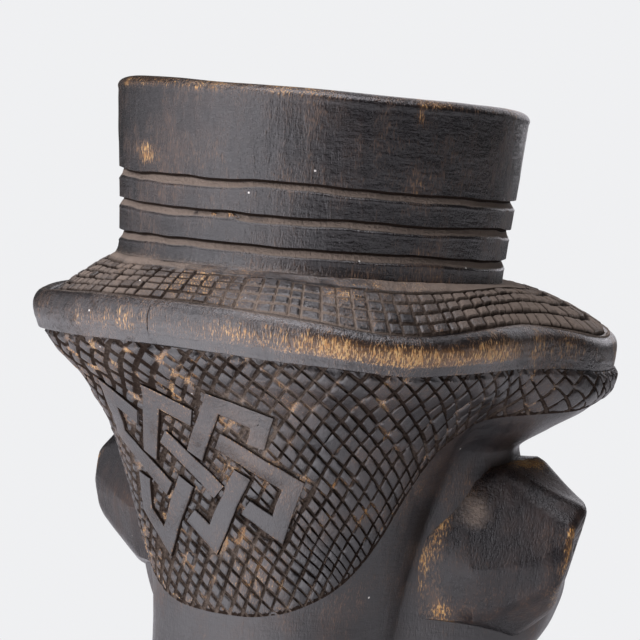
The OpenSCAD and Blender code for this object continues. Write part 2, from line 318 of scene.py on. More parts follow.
def worn_stain(tree, p):
    """Colour of the stain with its rubbed and bare places, and a mask of the bare ones."""
    shade = mixed(tree, (p["mottle"], 0.45), (p["blotch"], 0.35), (p["streak"], 0.2))
    stain = blend_colour(tree, spread(tree, shade, 0.44, 0.66), STAIN_DEEP, STAIN_BROWN)
    wear = mark(tree, "wear")
    chips = mixed(tree, *((spread(tree, p[name], 0.35, 0.65), share)
                          for name, share in (("fibre", 0.56), ("mottle", 0.30), ("streak", 0.14))))
    bared = math_node(tree, "ADD", chips, wear)
    rubbed_through = spread(tree, wear, 0.12, 0.65, 0.0, 0.8)
    thin = math_node(tree, "MAXIMUM", spread(tree, bared, 0.64, 1.0), rubbed_through)
    brown = blend_colour(tree, thin, stain, blend_colour(tree, spread(tree, wear, 0.15, 0.5), RUBBED, TAN))
    bare = spread(tree, bared, 0.90, 1.18)
    gold = blend_colour(tree, spread(tree, p["grit"], 0.4, 0.62), GOLDEN, PALE_GOLD)
    return blend_colour(tree, bare, brown, gold), bare


def soiled_and_shaded(tree, p, clean):
    """The colour with grime, painted shade and dust over it, and the masks of dust and of grime and shade.
    """
    heaps = mixed(tree, (mark(tree, "dust"), 1.0), (p["blotch"], 0.9), (p["grit"], 0.5))
    dust = spread(tree, math_node(tree, "SUBTRACT", heaps, 0.7), 0.2, 1.1, 0.0, 0.9)
    grains = math_node(tree, "MULTIPLY", p["grit"], 0.3)
    grime = spread(tree, math_node(tree, "ADD", mark(tree, "grime"), grains), 0.25, 0.75)
    return blend_colour(tree, dust, blend_colour(tree, grime, clean, GRIME_AND_SHADE), DUST), dust, grime


def specked(tree, p, colour):
    """The colour with a few pale specks, each in a cell of its own."""
    dots = add_node(tree, "ShaderNodeTexVoronoi", Vector=p["place"], Scale=SPECK_GRID)
    small = spread(tree, dots.outputs["Distance"], 0.026, 0.044, 1.0, 0.0)
    chance = add_node(tree, "ShaderNodeSeparateColor", Color=dots.outputs["Color"]).outputs[0]
    specks = math_node(tree, "MULTIPLY", small, math_node(tree, "GREATER_THAN", chance, SPECK_SHARE))
    return blend_colour(tree, specks, colour, SPECK)


print("colour layers: worn_stain, soiled, specked")

# %% [markdown]
# ## Five finishes
#
# The finishes differ in how evenly they were rubbed, not in colour: sheen is the roughness, gloss the
# strength of the reflection and grain the height of the fibres. Dirt and painted shade take the shine
# away, and bare wood is matt too.

# %% Five finishes
FINISHES = {  # sheen, gloss, grain
    "stained_wood": (0.40, 0.72, 0.35), "ear_wood": (0.28, 0.34, 0.4), "polished_wood": (0.22, 0.68, 0.55),
    "worn_wood": (0.21, 0.85, 0.6), "hatched_wood": (0.37, 0.74, 0.45)}
DIRT_AND_SHADE_ROUGHNESS, DIRT_AND_SHADE_GLOSS, BARE_ROUGHNESS, GRAIN_HEIGHT = 0.95, 0.1, 0.62, 0.0005


def carved_wood(name, sheen, gloss, grain):
    material, tree = new_material(name)
    p = wood_patterns(tree)
    worn, bare = worn_stain(tree, p)
    dirty_and_shaded, dust, grime = soiled_and_shaded(tree, p, worn)
    polish = mixed(tree, (p["mottle"], 0.6), (p["fibre"], 0.4), (p["streak"], 0.3))
    matt = spread(tree, polish, 0.45, 0.85, sheen - 0.10, sheen + 0.16)
    for mask, roughness in ((dust, DIRT_AND_SHADE_ROUGHNESS), (grime, DIRT_AND_SHADE_ROUGHNESS), (bare, BARE_ROUGHNESS)):
        matt = math_node(tree, "MAXIMUM", matt, math_node(tree, "MULTIPLY", mask, roughness))
    dirt_and_shade = math_node(tree, "MAXIMUM", dust, grime)
    relief = mixed(tree, (p["fibre"], 0.5), (p["streak"], 0.9), (p["strokes"], 0.5), (p["mottle"], 0.8),
                   (p["grit"], spread(tree, dirt_and_shade, 0.0, 1.0, 0.3, 1.8)))
    bumps = add_node(tree, "ShaderNodeBump", Strength=grain, Distance=GRAIN_HEIGHT, Height=relief)
    shine = spread(tree, dirt_and_shade, 0.0, 0.9, gloss, DIRT_AND_SHADE_GLOSS * gloss)
    wood = add_node(tree, "ShaderNodeBsdfPrincipled", Base_Color=specked(tree, p, dirty_and_shaded), Roughness=matt,
                    Normal=bumps.outputs[0], Specular_IOR_Level=shine)
    tree.links.new(wood.outputs[0], tree.nodes.new("ShaderNodeOutputMaterial").inputs[0])
    return material


woods = {name: carved_wood(name, *finish) for name, finish in FINISHES.items()}
print("finishes:", list(woods))

# %% [markdown]
# ## Curves
#
# Carving is described here with a handful of soft functions of angle and height: a step, a hump, a bow
# and a curve through a table that never swings past its knots.


# %% Curves
def lerp(a, b, t):
    return a + (b - a) * t


def smooth(t):
    """0 below 0, 1 above 1 and a soft step between."""
    u = np.clip(t, 0, 1)
    return u * u * (3 - 2 * u)


def hump(x, centre, width):
    return np.exp(-((x - centre) / width) ** 2)


def bow(t):
    """1 in the middle, 0 at -1 and 1."""
    return 1 - t * t


def part(row, start, count):
    """How far a row has come through count rows that begin at start, 0 to 1."""
    return np.clip((row - start) / count, 0, 1)


def curve(table, column, x):
    """A smooth curve through a table's rows that never swings past them."""
    knots, values = table[:, 0], table[:, column]
    steps = np.diff(knots)
    grades = np.diff(values) / steps
    product = grades[:-1] * grades[1:]
    total = grades[:-1] + grades[1:]
    inner = np.where(product > 0, 2 * product / np.where(product > 0, total, 1), 0)
    tangents = np.concatenate([grades[:1], inner, grades[-1:]])
    i = np.clip(np.searchsorted(knots, x, side="right") - 1, 0, len(steps) - 1)
    t = (x - knots[i]) / steps[i]
    bend = (1 - t) * tangents[i] - t * tangents[i + 1]
    return lerp(values[i], values[i + 1], t * t * (3 - 2 * t)) + steps[i] * t * (1 - t) * bend


print("a hump falls to", round(float(hump(1, 0, 1)), 2), "at its width")

# %% [markdown]
# ## Angles and places
#
# The cup stands upright on its axis, so a place on it is most simply given by an angle, a radius and a
# height. Angles are degrees from the nape, and grow towards the right ear.


# %% Angles and places
def signed(b):
    """An angle from -180 to 180: below 0 on the left of the nape."""
    return (b + 180) % 360 - 180


def turn(b):
    """Degrees from the nape, either way."""
    return np.abs(signed(b))


def at(b, r, z):
    """Points at angle b from the nape, at radius r and height z."""
    b = np.radians(b)
    return np.stack([-r * np.sin(b), r * np.cos(b), z + 0 * b], axis=-1)


def polar(points):
    """Angle, radius and height of points."""
    x, y, z = points.T
    return np.degrees(np.arctan2(-x, y)), np.hypot(x, y), z


print("a point 10 mm from the axis towards the right ear:", at(90.0, 10.0, 0.0).round(1).tolist())

# %% [markdown]
# ## The head's form
#
# Every member follows the same block, so one set of functions gives its surface: the radius of the bare
# head at an angle and a height. Sections are rounded squares that change from the ear side to the cheek.
# The brim hangs at its four corners. The sections are those of the CAD model. The left rear corner, which
# hangs less than the right one, is added here.

# %% Head and brim
HEAD_Z = 50
HEAD = np.array([
    # height, back, side, cheek, front, squareness behind and in front
    [50, 28.5, 28.5, 28.5, 28.5, 2.0, 2.0], [58, 28.3, 28.5, 31.0, 36.0, 2.0, 2.0],
    [65, 28.2, 28.4, 41.0, 51.0, 2.0, 2.3], [72, 28.2, 28.6, 49.5, 60.5, 2.0, 2.6],
    [80, 28.4, 29.4, 54.0, 63.5, 2.0, 2.7], [87, 28.9, 30.6, 55.8, 64.0, 2.1, 2.7],
    [97, 31.3, 32.7, 54.0, 61.5, 2.2, 2.6], [108, 34.9, 35.9, 49.0, 58.5, 2.3, 2.3],
    [117, 38.8, 39.2, 46.0, 57.0, 2.3, 2.1], [122, 41.4, 42.1, 51.0, 61.5, 2.4, 2.4],
    [126.5, 44.3, 45.2, 56.5, 65.5, 2.4, 2.8], [131.5, 49.4, 50.4, 59.0, 67.5, 2.4, 3.4],
    [140, 55.6, 56.2, 59.2, 67.5, 2.4, 3.5]])
CHEEK_FROM, CHEEK_TO = 88, 114
CORNERS, CORNER_W, LEFT_LIFT, LIFT_W = (52, 125), 20, 0.35, 25
BRIM_Z, BAND_H, LOW_WAVE, HIGH_WAVE = 135.5, 7.7, 1.6, 3.0
FRONT_FROM, FRONT_TO = 60, 105


def oval(b, wide, deep, square):
    s, c = np.abs(np.sin(np.radians(b))), np.abs(np.cos(np.radians(b)))
    return ((s / wide) ** square + (c / deep) ** square) ** (-1 / square)


def head_r(b, z):
    back, side, cheek, front, rear_sq, face_sq = (curve(HEAD, k, z) for k in range(1, 7))
    rear = oval(b, side, np.where(turn(b) < 90, back, side), rear_sq)
    face = oval(b, cheek, front, face_sq)
    return lerp(rear, face, smooth((turn(b) - CHEEK_FROM) / (CHEEK_TO - CHEEK_FROM)))


def droop(b):
    """How far the brim hangs at angle b, 0 to 1; the left rear corner hangs less than the right one."""
    hang = np.minimum(1, sum(hump(turn(b), corner, CORNER_W) for corner in CORNERS))
    return hang * (1 - LEFT_LIFT * hump(signed(b), -CORNERS[0], LIFT_W))


def brim_low(b):
    return BRIM_Z + LOW_WAVE * (1 - droop(b))


def brim_high(b):
    return BRIM_Z + BAND_H + HIGH_WAVE * (1 - droop(b))


def brim_r(b):
    return head_r(b, brim_low(b))


def front_share(b):
    """How far the brim at angle b has turned into its front, 0 to 1."""
    return smooth((turn(b) - FRONT_FROM) / (FRONT_TO - FRONT_FROM))


print("nape radius at the brim, mm:", round(float(brim_r(np.array(0.0))), 1))

# %% [markdown]
# ## Building tools
#
# A carved surface is a fine grid that is bent into place. Sculpting could give the same forms, but a grid
# keeps its rows along the grooves and so cuts them cleanly. A placing function moves every point and also
# returns the marks for the material.

# %% Building tools
WELD = 0.004 * MM


def points_of(shape):
    return np.array([v.co for v in shape.verts])


def flat_grid(columns, rows):
    """A bmesh sheet, and how far each of its points lies across and up it, 0 to 1."""
    sheet = bmesh.new()
    bmesh.ops.create_grid(sheet, x_segments=columns, y_segments=rows, size=0.5)
    bmesh.ops.translate(sheet, verts=sheet.verts, vec=(0.5, 0.5, 0))
    u, v, _ = points_of(sheet).T
    return sheet, u, v


def put(shape, points, **marks):
    """Moves the points of a bmesh to places in mm and writes the marks on them."""
    for vert, point in zip(shape.verts, (points * MM).tolist()):
        vert.co = point
    for name, amounts in marks.items():
        layer = shape.verts.layers.float.get(name) or shape.verts.layers.float.new(name)
        for vert, amount in zip(shape.verts, np.broadcast_to(amounts, len(points)).tolist()):
            vert[layer] = amount


def bent_grid(columns, rows, place):
    """A sheet whose points a placing function moves and marks."""
    sheet, u, v = flat_grid(columns, rows)
    points, marks = place(u, v)
    put(sheet, points, **marks)
    return sheet


def close_holes(shape):
    return bmesh.ops.holes_fill(shape, edges=[e for e in shape.edges if e.is_boundary], sides=0)["faces"]


print("points closer than", WELD / MM, "mm are welded")

# %% [markdown]
# ## Unevenness of the hand
#
# A displacement texture could roughen the surfaces, but the marks need such bumps as well as the shape.
# So unevenness comes from a seeded table of numbers, read softly in space: it is the same at every run
# and has no seam.

# %% Unevenness of the hand
TABLE = 32


def uneven(points, size, seed):
    """Soft bumps from -1 to 1, about size mm across."""
    table = np.random.default_rng(seed).uniform(-1, 1, (TABLE, TABLE, TABLE))
    cell = np.floor(points / size).astype(int)
    t = points / size - cell
    t = t * t * (3 - 2 * t)
    total = np.zeros(len(points))
    for corner in itertools.product((0, 1), repeat=3):
        share = np.prod(np.where(corner, t, 1 - t), axis=-1)
        total += share * table[tuple(((cell + corner) % TABLE).T)]
    return total


def waves(points, *terms):
    """A sum of soft bumps, each given by its height, its size in mm and its seed."""
    return sum(height * uneven(points, size, seed) for height, size, seed in terms)


print("bumps repeat after", TABLE, "times their size")

# %% [markdown]
# ## Finished pieces
#
# Every piece is finished in the same way. Points that lie on each other are welded, unless the piece was
# closed before, and the faces are turned outwards. Edges sharper than the crease angle stay sharp, and the
# piece takes the place of its CAD node. The number of open edges is printed, because a carved solid has
# none.

# %% Finished pieces
CREASE, BAND_CREASE, PANEL_CREASE, FACE_CREASE = 40, 32, 50, 60  # degrees


def add_piece(name, shape, node, wood, crease=CREASE, weld=True):
    """Welds a shape, turns it outwards and puts it in the scene in place of a CAD node."""
    if weld:
        bmesh.ops.remove_doubles(shape, verts=shape.verts, dist=WELD)
    bmesh.ops.recalc_face_normals(shape, faces=shape.faces)
    mesh = bpy.data.meshes.new(name)
    shape.to_mesh(mesh)
    open_edges = sum(edge.is_boundary for edge in shape.edges)
    shape.free()
    mesh.shade_smooth()
    mesh.set_sharp_from_angle(angle=math.radians(crease))
    mesh.materials.append(woods[wood])
    piece = bpy.data.objects.new(name, mesh)
    bpy.context.scene.collection.objects.link(piece)
    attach(piece, "root")
    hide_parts(node)
    print(f"{name}: {len(mesh.polygons)} faces, {open_edges} open edges")


print("edges stay sharp from", CREASE, "degrees, unless a piece says otherwise")

# %% [markdown]
# ## Cup collar
#
# The collar is the round mouth of the cup, with a rounded lip and three ring grooves. A cylinder with
# loop cuts could make it, but the wall leans outwards, so its section is drawn once and spun about the
# axis. The section has rows where the grooves will be cut: each follows the groove's own shape, so that
# the cuts stay crisp.

# %% Collar section
CUP_H, COLLAR_Z, COLLAR_R = 190.6, 153.4, 41.9
LIP_R, LIP_T, LIP_ROUND = 45.0, 6.0, 2.0
BOWL_R, BOWL_FLOOR, BOWL_SHOULDER = 33.0, 88.0, 128.0
GROOVES = (170.6, 164.1, 157.6)
GROOVE_CUT = np.array([  # offset from the middle of the groove, depth
    [-1.75, 0.0], [-1.5, -0.06], [-1.3, -0.04], [-1.1, 0.12], [-0.7, 0.42], [-0.2, 0.78], [0.2, 1.0],
    [0.5, 1.15], [0.7, 1.15], [0.8, 0.8], [0.86, 0.16], [0.94, 0.0], [1.12, 0.0]])
INSIDE_ROWS, LIP_ROWS, UPPER_ROWS, RING_ROWS, COLLAR_STEPS = 22, 17, 26, 5, 420


def bowl_at(z):
    hollow = np.clip(1 - ((BOWL_SHOULDER - z) / (BOWL_SHOULDER - BOWL_FLOOR)) ** 2, 0, 1)
    wall = lerp(BOWL_R, LIP_R - LIP_T, (z - BOWL_SHOULDER) / (CUP_H - BOWL_SHOULDER))
    return np.where(z < BOWL_SHOULDER, BOWL_R * np.sqrt(hollow), wall)


def collar_at(z):
    return lerp(COLLAR_R, LIP_R, (z - COLLAR_Z) / (CUP_H - COLLAR_Z))


def collar_section():
    """Radius and height of points up the inside, over the lip and down the outside."""
    half, shoulder = LIP_T / 2, CUP_H - LIP_ROUND
    inside = [(float(bowl_at(np.array(z))), z) for z in np.linspace(COLLAR_Z, shoulder, INSIDE_ROWS)[:-1]]
    lip = [(LIP_R - half + half * math.cos(a), shoulder + LIP_ROUND * math.sin(a))
           for a in np.linspace(math.pi, 0, LIP_ROWS)]
    levels = [z + offset for z in GROOVES for offset, _ in GROOVE_CUT[::-1]]
    levels += list(np.linspace(shoulder, GROOVES[0] + 1.2, UPPER_ROWS)[1:-1])
    levels += [COLLAR_Z, COLLAR_Z + 0.6, COLLAR_Z + 1.2]
    levels += [z for upper in GROOVES[:2] for z in np.linspace(upper - 2.1, upper - 5.2, RING_ROWS)]
    return inside + lip + [(float(collar_at(z)), z) for z in sorted(levels, reverse=True)]


def spun(section, steps):
    """A bmesh turned about the axis from a closed section of (radius, height) points in mm."""
    shape = bmesh.new()
    ring = [shape.verts.new((0, r * MM, z * MM)) for r, z in section]
    edges = [shape.edges.new(pair) for pair in zip(ring, ring[1:] + ring[:1])]
    bmesh.ops.spin(shape, geom=ring + edges, axis=(0, 0, 1), cent=(0, 0, 0), angle=math.tau, steps=steps,
                   use_merge=True)
    bmesh.ops.remove_doubles(shape, verts=shape.verts, dist=WELD)
    return shape


collar = spun(collar_section(), COLLAR_STEPS)
print("collar:", len(collar.verts), "points")

# %% [markdown]
# ## Ring grooves and lip
#
# The grooves were cut with a knife held level: the upper wall of each is steep and throws a shadow, the
# lower one slopes out to a bright edge. A dark band just under each upper edge is painted shade. They
# wander a little up and down, by whole rows. Dust lies on their floors, a few crumbs sit in the middle
# one, and the lip is rubbed.

# %% Carve the collar
GROOVE_DUST, GROOVE_SHADE = 0.95, 0.9
LIP_RISE, LIP_RISE_AT, LIP_RISE_W = 0.9, -50, 45
BARE_PATCHES = ((175, 3.0, -24, 5), (187, 2.5, 57, 1.5))  # height and reach, angle and reach


def ring_cuts(b, z, outer):
    """Depth of the grooves, how far their rows wander up, and the dust in them."""
    depth, rise, dust = np.zeros(len(z)), np.zeros(len(z)), np.zeros(len(z))
    for i, level in enumerate(GROOVES):
        ring = np.stack([np.cos(np.radians(b)) * 40, np.sin(np.radians(b)) * 40, 0 * b + 90 * i], axis=-1)
        near = hump(z, level, 2.6) * outer
        cut = np.interp(z - level, GROOVE_CUT[:, 0], GROOVE_CUT[:, 1]) * outer
        depth += cut * (1 + 0.22 * uneven(ring, 9, 21 + i))
        rise += near * waves(ring, (0.5, 16, 31 + i), (0.2, 5, 41 + i))
        rise += near * np.where(z < level, waves(ring, (0.45, 11, 51 + i), (0.15, 4, 56 + i)), 0)
        dust += smooth(cut / 0.5) * np.where(z < level + 0.3, GROOVE_DUST, 0)
    return depth, rise, dust


def carve_collar(points):
    b, r, z = polar(points)
    outer = r > bowl_at(z) + LIP_T / 2
    depth, rise, dust = ring_cuts(b, z, outer)
    on_right = smooth((b + 10) / 80) * smooth((180 - b) / 60)
    foot = np.exp(-(z - COLLAR_Z) / 1.3) * outer * lerp(1.0, 0.15, on_right)
    crumbs = hump(z, GROOVES[1], 0.9) * hump(b, 5, 9) * smooth(2 * uneven(points, 1.4, 5)) * outer
    lip = smooth((z - CUP_H + 4.5) / 3)
    hand = waves(points, (0.16, 14, 1), (0.09, 4.5, 2)) + 0.6 * crumbs
    radius = r - depth + 0.9 * foot + hand * (1 - 0.5 * lip)
    lift = 0.22 * uneven(points, 11, 3) - 0.1 + LIP_RISE * hump(b, LIP_RISE_AT, LIP_RISE_W)
    height = z + rise + lip * lift
    edge = smooth((height - CUP_H + 2.6) / 1.4) * smooth((radius - LIP_R + 4) / 2)
    patch = outer * sum(hump(height, up, tall) * hump(b, across, wide)
                        for up, tall, across, wide in BARE_PATCHES)
    wear = 0.34 * edge * (0.6 + 0.6 * uneven(points, 7, 4)) + 0.2 * foot + 0.4 * patch + 0.6 * crumbs
    # Painted shade: a dark band just under the upper edge of each groove.
    under_edge = sum((z > level + 0.4) & (z < level + 0.9) for level in GROOVES)
    put(collar, at(b, radius, height), wear=wear, dust=np.clip(dust + 0.6 * foot - 1.5 * crumbs, 0, 1),
        grime=GROOVE_SHADE * under_edge * outer)


carve_collar(points_of(collar) / MM)
add_piece("carved_collar", collar, "cup_collar", "polished_wood")

# %% [markdown]
# ## Knife lines
#
# Hatching is cut along numbered lines. A texture would smear such fine cuts, so the mesh itself has them:
# a grid has nine columns for each cell, with one exactly on each line, and every groove is a clean V.
# Whole lines are pushed about a little, as a hand-held knife would leave them.

# %% Knife lines
SUBSTEPS = np.array([0, 0.06, 0.13, 0.22, 0.36, 0.64, 0.78, 0.87, 0.94])


def line_steps(count):
    """Places along count cells, dense where the grooves are."""
    return np.append((np.arange(count)[:, None] + SUBSTEPS).ravel(), count)


def pushed(lines, count, amount, seed, closed=False):
    """Line numbers with each whole line moved by a fixed random amount."""
    offsets = np.random.default_rng(seed).uniform(-amount, amount, count + 1)
    if closed:
        offsets[-1] = offsets[0]
    return lines + np.interp(lines, np.arange(count + 1), offsets)


def v_cut(lines, cell, width):
    """1 at the bottom of the nearest line's groove, 0 from half its width on."""
    return np.clip(1 - np.abs(lines - np.round(lines)) * cell / (width / 2), 0, 1)


print("grid places for each cell:", len(SUBSTEPS))

# %% [markdown]
# ## Coiffure top
#
# The crown slopes from the band up to the collar's foot and is cut into small squares: lines that run up
# the slope, and rows parallel to the edge. There are five rows on the left and four wider ones on the
# right. The grid is a closed loop: up the slope, over the top under the collar, down the hollow and back
# out at the bottom.

# %% Form of the coiffure top
TOP_LINES, TOP_ROWS, LINE_PUSH = 96, 5, 0.2
HATCH_FROM, HATCH_LEFT, HATCH_RIGHT = 0.03, 0.80, 0.97
HIDDEN_ROWS, WALL_ROWS = 4, 8
LEDGE_W, EDGE_OVER, COLLAR_OVER = 3.0, 1.3, 0.8
CROWN_SWELL, FRONT_SWELL = 0.4, 2.0
CROWN_LINES = line_steps(TOP_LINES)
CROWN_CELLS = np.concatenate([[-0.2], line_steps(TOP_ROWS), [TOP_ROWS + 0.5, TOP_ROWS + 1]])
SLOPE_ROWS = len(CROWN_CELLS)
CROWN_LOOP = SLOPE_ROWS + HIDDEN_ROWS + WALL_ROWS + HIDDEN_ROWS


def crown_rows(b):
    """How far the right side's four wide rows replace the five of the left, 0 to 1."""
    return smooth((signed(b) + 30) / 50) * smooth((175 - signed(b)) / 40)


def crown_form(b, row, cells):
    """Radius and height of the crown before it is cut, and the share of the slope, 0 to 1."""
    hatch_to = lerp(HATCH_LEFT, HATCH_RIGHT, crown_rows(b))
    t = np.where(cells < 0, 0, lerp(HATCH_FROM, hatch_to, cells / TOP_ROWS))
    t = np.where(cells > TOP_ROWS, lerp(hatch_to, 1, cells - TOP_ROWS), t)
    outer, inner = brim_r(b) - LEDGE_W + EDGE_OVER, COLLAR_R + COLLAR_OVER
    high, low = brim_high(b), brim_low(b)
    step = (row - SLOPE_ROWS + 1).astype(float)
    over = lerp(inner, bowl_at(0 * b + COLLAR_Z), part(step, 0, HIDDEN_ROWS))
    down = lerp(COLLAR_Z + 0 * b, low, part(step, HIDDEN_ROWS, WALL_ROWS))
    out = lerp(bowl_at(low), outer, part(step, HIDDEN_ROWS + WALL_ROWS, HIDDEN_ROWS))
    swell = lerp(CROWN_SWELL, FRONT_SWELL, front_share(b)) * 4 * t * (1 - t)
    where = [row < SLOPE_ROWS, step <= HIDDEN_ROWS, step <= HIDDEN_ROWS + WALL_ROWS]
    r = np.select(where, [lerp(outer, inner, t), over, bowl_at(down)], out)
    z = np.select(where, [lerp(high, COLLAR_Z, t) + swell, COLLAR_Z + 0 * b, down], low)
    return r, z, t


print("crown:", TOP_LINES, "lines up the slope,", TOP_ROWS, "rows")

# %% [markdown]
# ## Squares of the coiffure
#
# Each square is set a little higher or lower than its neighbours, and the cuts are bolder on the left. In
# the middle of the back the squares are dark with pale dust in the cuts between them. To the sides it is
# the other way round: the tops are dusty and the cuts are darkened with painted shade.

# %% Carve the coiffure top
SQUARE_W, ROW_W = 3.4, 2.6
SLOPE_WAY = (0.42, 0.9)  # outwards and upwards share of a move across the slope


def square_heights(line, cells):
    """A random height for each square, -1 to 1."""
    table = np.random.default_rng(65).uniform(-1, 1, (TOP_LINES + 1, TOP_ROWS + 3))
    column = np.clip(np.floor(line).astype(int), 0, TOP_LINES)
    return table[column, np.clip(np.floor(cells).astype(int) + 1, 0, TOP_ROWS + 2)]


def crown_marks(points, side, cut, plain, square, inside, on_slope):
    back = 0.3 + 0.7 * hump(side, 30, 30)
    on_right = smooth((side - 60) / 30) * smooth((170 - side) / 40)
    tops = 0.78 - 0.85 * hump(side, 28, 32) + 0.14 * on_right + 0.2 * uneven(points, 6, 59) + 0.16 * square
    dust = np.clip(lerp(tops, 1.3 * back - 0.2, smooth(cut * 1.8)) + 0.3 * plain, 0, 1)
    # Painted shade: the cuts away from the middle of the back are darkened.
    grime = smooth(cut * 2.2) * smooth((1.05 - back) / 0.4)
    chipped = smooth(uneven(points, 9, 58)) * hump(cut, 0.2, 0.25) * inside
    wear = 0.08 + 0.34 * chipped + 0.10 * plain
    return dict(wear=on_slope * wear, dust=dust * on_slope, grime=grime * on_slope)


def place_coiffure_top(u, v):
    line = CROWN_LINES[np.round(u * (len(CROWN_LINES) - 1)).astype(int)]
    row = np.round(v * CROWN_LOOP).astype(int) % CROWN_LOOP
    cells = CROWN_CELLS[np.clip(row, 0, SLOPE_ROWS - 1)]
    b = pushed(line, TOP_LINES, LINE_PUSH, 61, closed=True) * 360 / TOP_LINES
    side, on_slope = signed(b), row < SLOPE_ROWS
    r, z, t = crown_form(b, row, cells)
    points = at(b, r, z)
    last = TOP_ROWS - crown_rows(b)
    inside = on_slope & (cells >= 0) & (cells <= last + 0.02)
    bold = hump(side, -50, 50)
    width = 0.85 + 0.15 * bold + waves(points, (0.35, 9, 64), (0.2, 2.5, 56))
    radial = v_cut(line, SQUARE_W, width) * (cells > 0)
    level = v_cut(cells, ROW_W, 1.0 + 0.4 * uneven(points, 12, 69))
    cut = np.where(inside, np.maximum(radial, level), 0)
    square = square_heights(line, cells)
    deep = lerp(0.85, 1.25, smooth((turn(b) - 40) / 30)) + 0.35 * bold
    deep = deep * (0.75 + 0.25 * uneven(points, 16, 62)) * (1 + 0.25 * uneven(points, 5, 66))
    fall = deep * cut ** 0.8 + np.where(inside, 0.16 * square * (1 - cut), 0)
    plain = on_slope * smooth((cells - last) / 0.3)
    rough = waves(points, (0.14, 8, 67), (0.10, 1.6, 57))
    shape = on_slope * (rough - fall) + plain * smooth((1 - t) / 0.05) * 0.25 * uneven(points, 4, 63)
    wander = on_slope * smooth(t / 0.1) * smooth((1 - t) / 0.1) * 0.45 * uneven(points, 10, 68)
    outwards, upwards = SLOPE_WAY
    points = at(b, r + outwards * shape - wander, z + upwards * shape + outwards * wander)
    return points, crown_marks(points, side, cut, plain, square, inside, on_slope)


coiffure = bent_grid(len(CROWN_LINES) - 1, CROWN_LOOP, place_coiffure_top)
add_piece("carved_coiffure_top", coiffure, "coiffure_top", "hatched_wood")

# %% [markdown]
# ## Brim band
#
# A smooth roll runs round the brim, with a narrow bevel under it. A bevelled curve could make it, but its
# section changes from the nape to the front. So the section is a closed loop that a grid carries round
# the brim's outline with its drooping corners. A fine crack runs down it behind, so the columns lie
# closer there.

# %% Form of the brim band
BAND_SECTION = np.array([  # mm out over the head at the nape and at the front, share of the band's height
    [-3, -3, 0], [0.5, 0.1, 0], [0.9, 0.2, 0], [1.05, 0.25, 0.012], [1.4, 0.34, 0.11], [1.72, 0.42, 0.205],
    [1.92, 0.47, 0.24], [2.12, 0.5, 0.29], [2.42, 0.55, 0.42], [2.57, 0.58, 0.53], [2.6, 0.55, 0.63],
    [2.5, 0.42, 0.72], [2.3, 0.15, 0.8], [2.0, -0.3, 0.87], [1.6, -0.9, 0.93], [1.15, -1.6, 0.97],
    [0.8, -2.2, 0.99], [0.35, -2.6, 1], [-0.9, -2.8, 1], [-1.15, -2.9, 0.96], [-3, -3, 0.96]])
BAND_COLUMNS, BAND_ROWS = 560, 60
CRACK_AT, CRACK_HALF, CRACK_DEPTH, CRACK_COLUMNS = -3.0, 0.14, 0.22, 16
CRACK_OFFSETS = np.array([-1.5, -0.5, -0.25, -0.12, 0, 0.12, 0.25, 0.5, 1.5])


def band_columns():
    """Angles of the band's columns, close together where a crack runs down it."""
    first, last = CRACK_OFFSETS[-1], 360 + CRACK_OFFSETS[0]
    even = np.linspace(CRACK_AT + first, CRACK_AT + last, BAND_COLUMNS - CRACK_COLUMNS + 1)
    knots = np.linspace(0, 1, len(CRACK_OFFSETS))
    near = np.interp(np.linspace(0, 1, CRACK_COLUMNS + 1), knots, CRACK_OFFSETS)
    return np.concatenate([CRACK_AT + near[:-1], even])


def band_form(b, v):
    """How far a point of the loop lies out over the head, at the nape and here, and up the band."""
    knots = np.linspace(0, 1, len(BAND_SECTION) + 1)
    loop = np.vstack([BAND_SECTION, BAND_SECTION[:1]])
    at_nape, at_front, up = (np.interp(v, knots, column) for column in loop.T)
    by_hand = 0.8 * hump(signed(b), -52, 25) - 0.6 * hump(signed(b), 122, 20)
    return at_nape, lerp(at_nape, at_front, front_share(b)) + by_hand, up


print("band:", len(BAND_SECTION), "points round its section")

# %% [markdown]
# ## Wear of the brim band
#
# Hands hold the cup here, at its right rear, so the face of the roll is rubbed to golden flecks there,
# while the bevel stayed grey. The left rear is dull and finely mottled.


# %% Carve the brim band
def band_marks(points, side, up, face, crack):
    middle = hump(up, 0.46, 0.32) * smooth((up - 0.19) / 0.08)
    patches = 0.5 + 0.5 * uneven(points * [1, 1, 0.3], 13, 74)
    flakes = uneven(points * [1, 1, 0.5], 4, 76)
    hands = (0.4 * smooth((side - 5) / 20) + 0.6 * smooth((side - 24) / 14)) * smooth((98 - side) / 20)
    rubbed = 0.10 + 0.14 * patches + (0.22 + 0.16 * patches + 0.08 * flakes) * hands
    dull = smooth((-10 - side) / 16) * smooth((side + 115) / 35) * (0.3 + 0.6 * patches) * (up > 0.02)
    wear = face * (0.08 + middle * rubbed) - 0.11 * dull
    dust = 0.5 * hump(up, 0.99, 0.03) + 0.35 * (up < 0.004) + 0.5 * crack
    broken = 0.7 + waves(points, (0.25, 2.5, 78), (0.35, 1.3, 79))
    grime = broken * (0.42 * dull + 0.26 * face * smooth(1.4 * uneven(points, 6, 77)))
    return dict(wear=wear, dust=np.clip(dust, 0, 1), grime=grime)


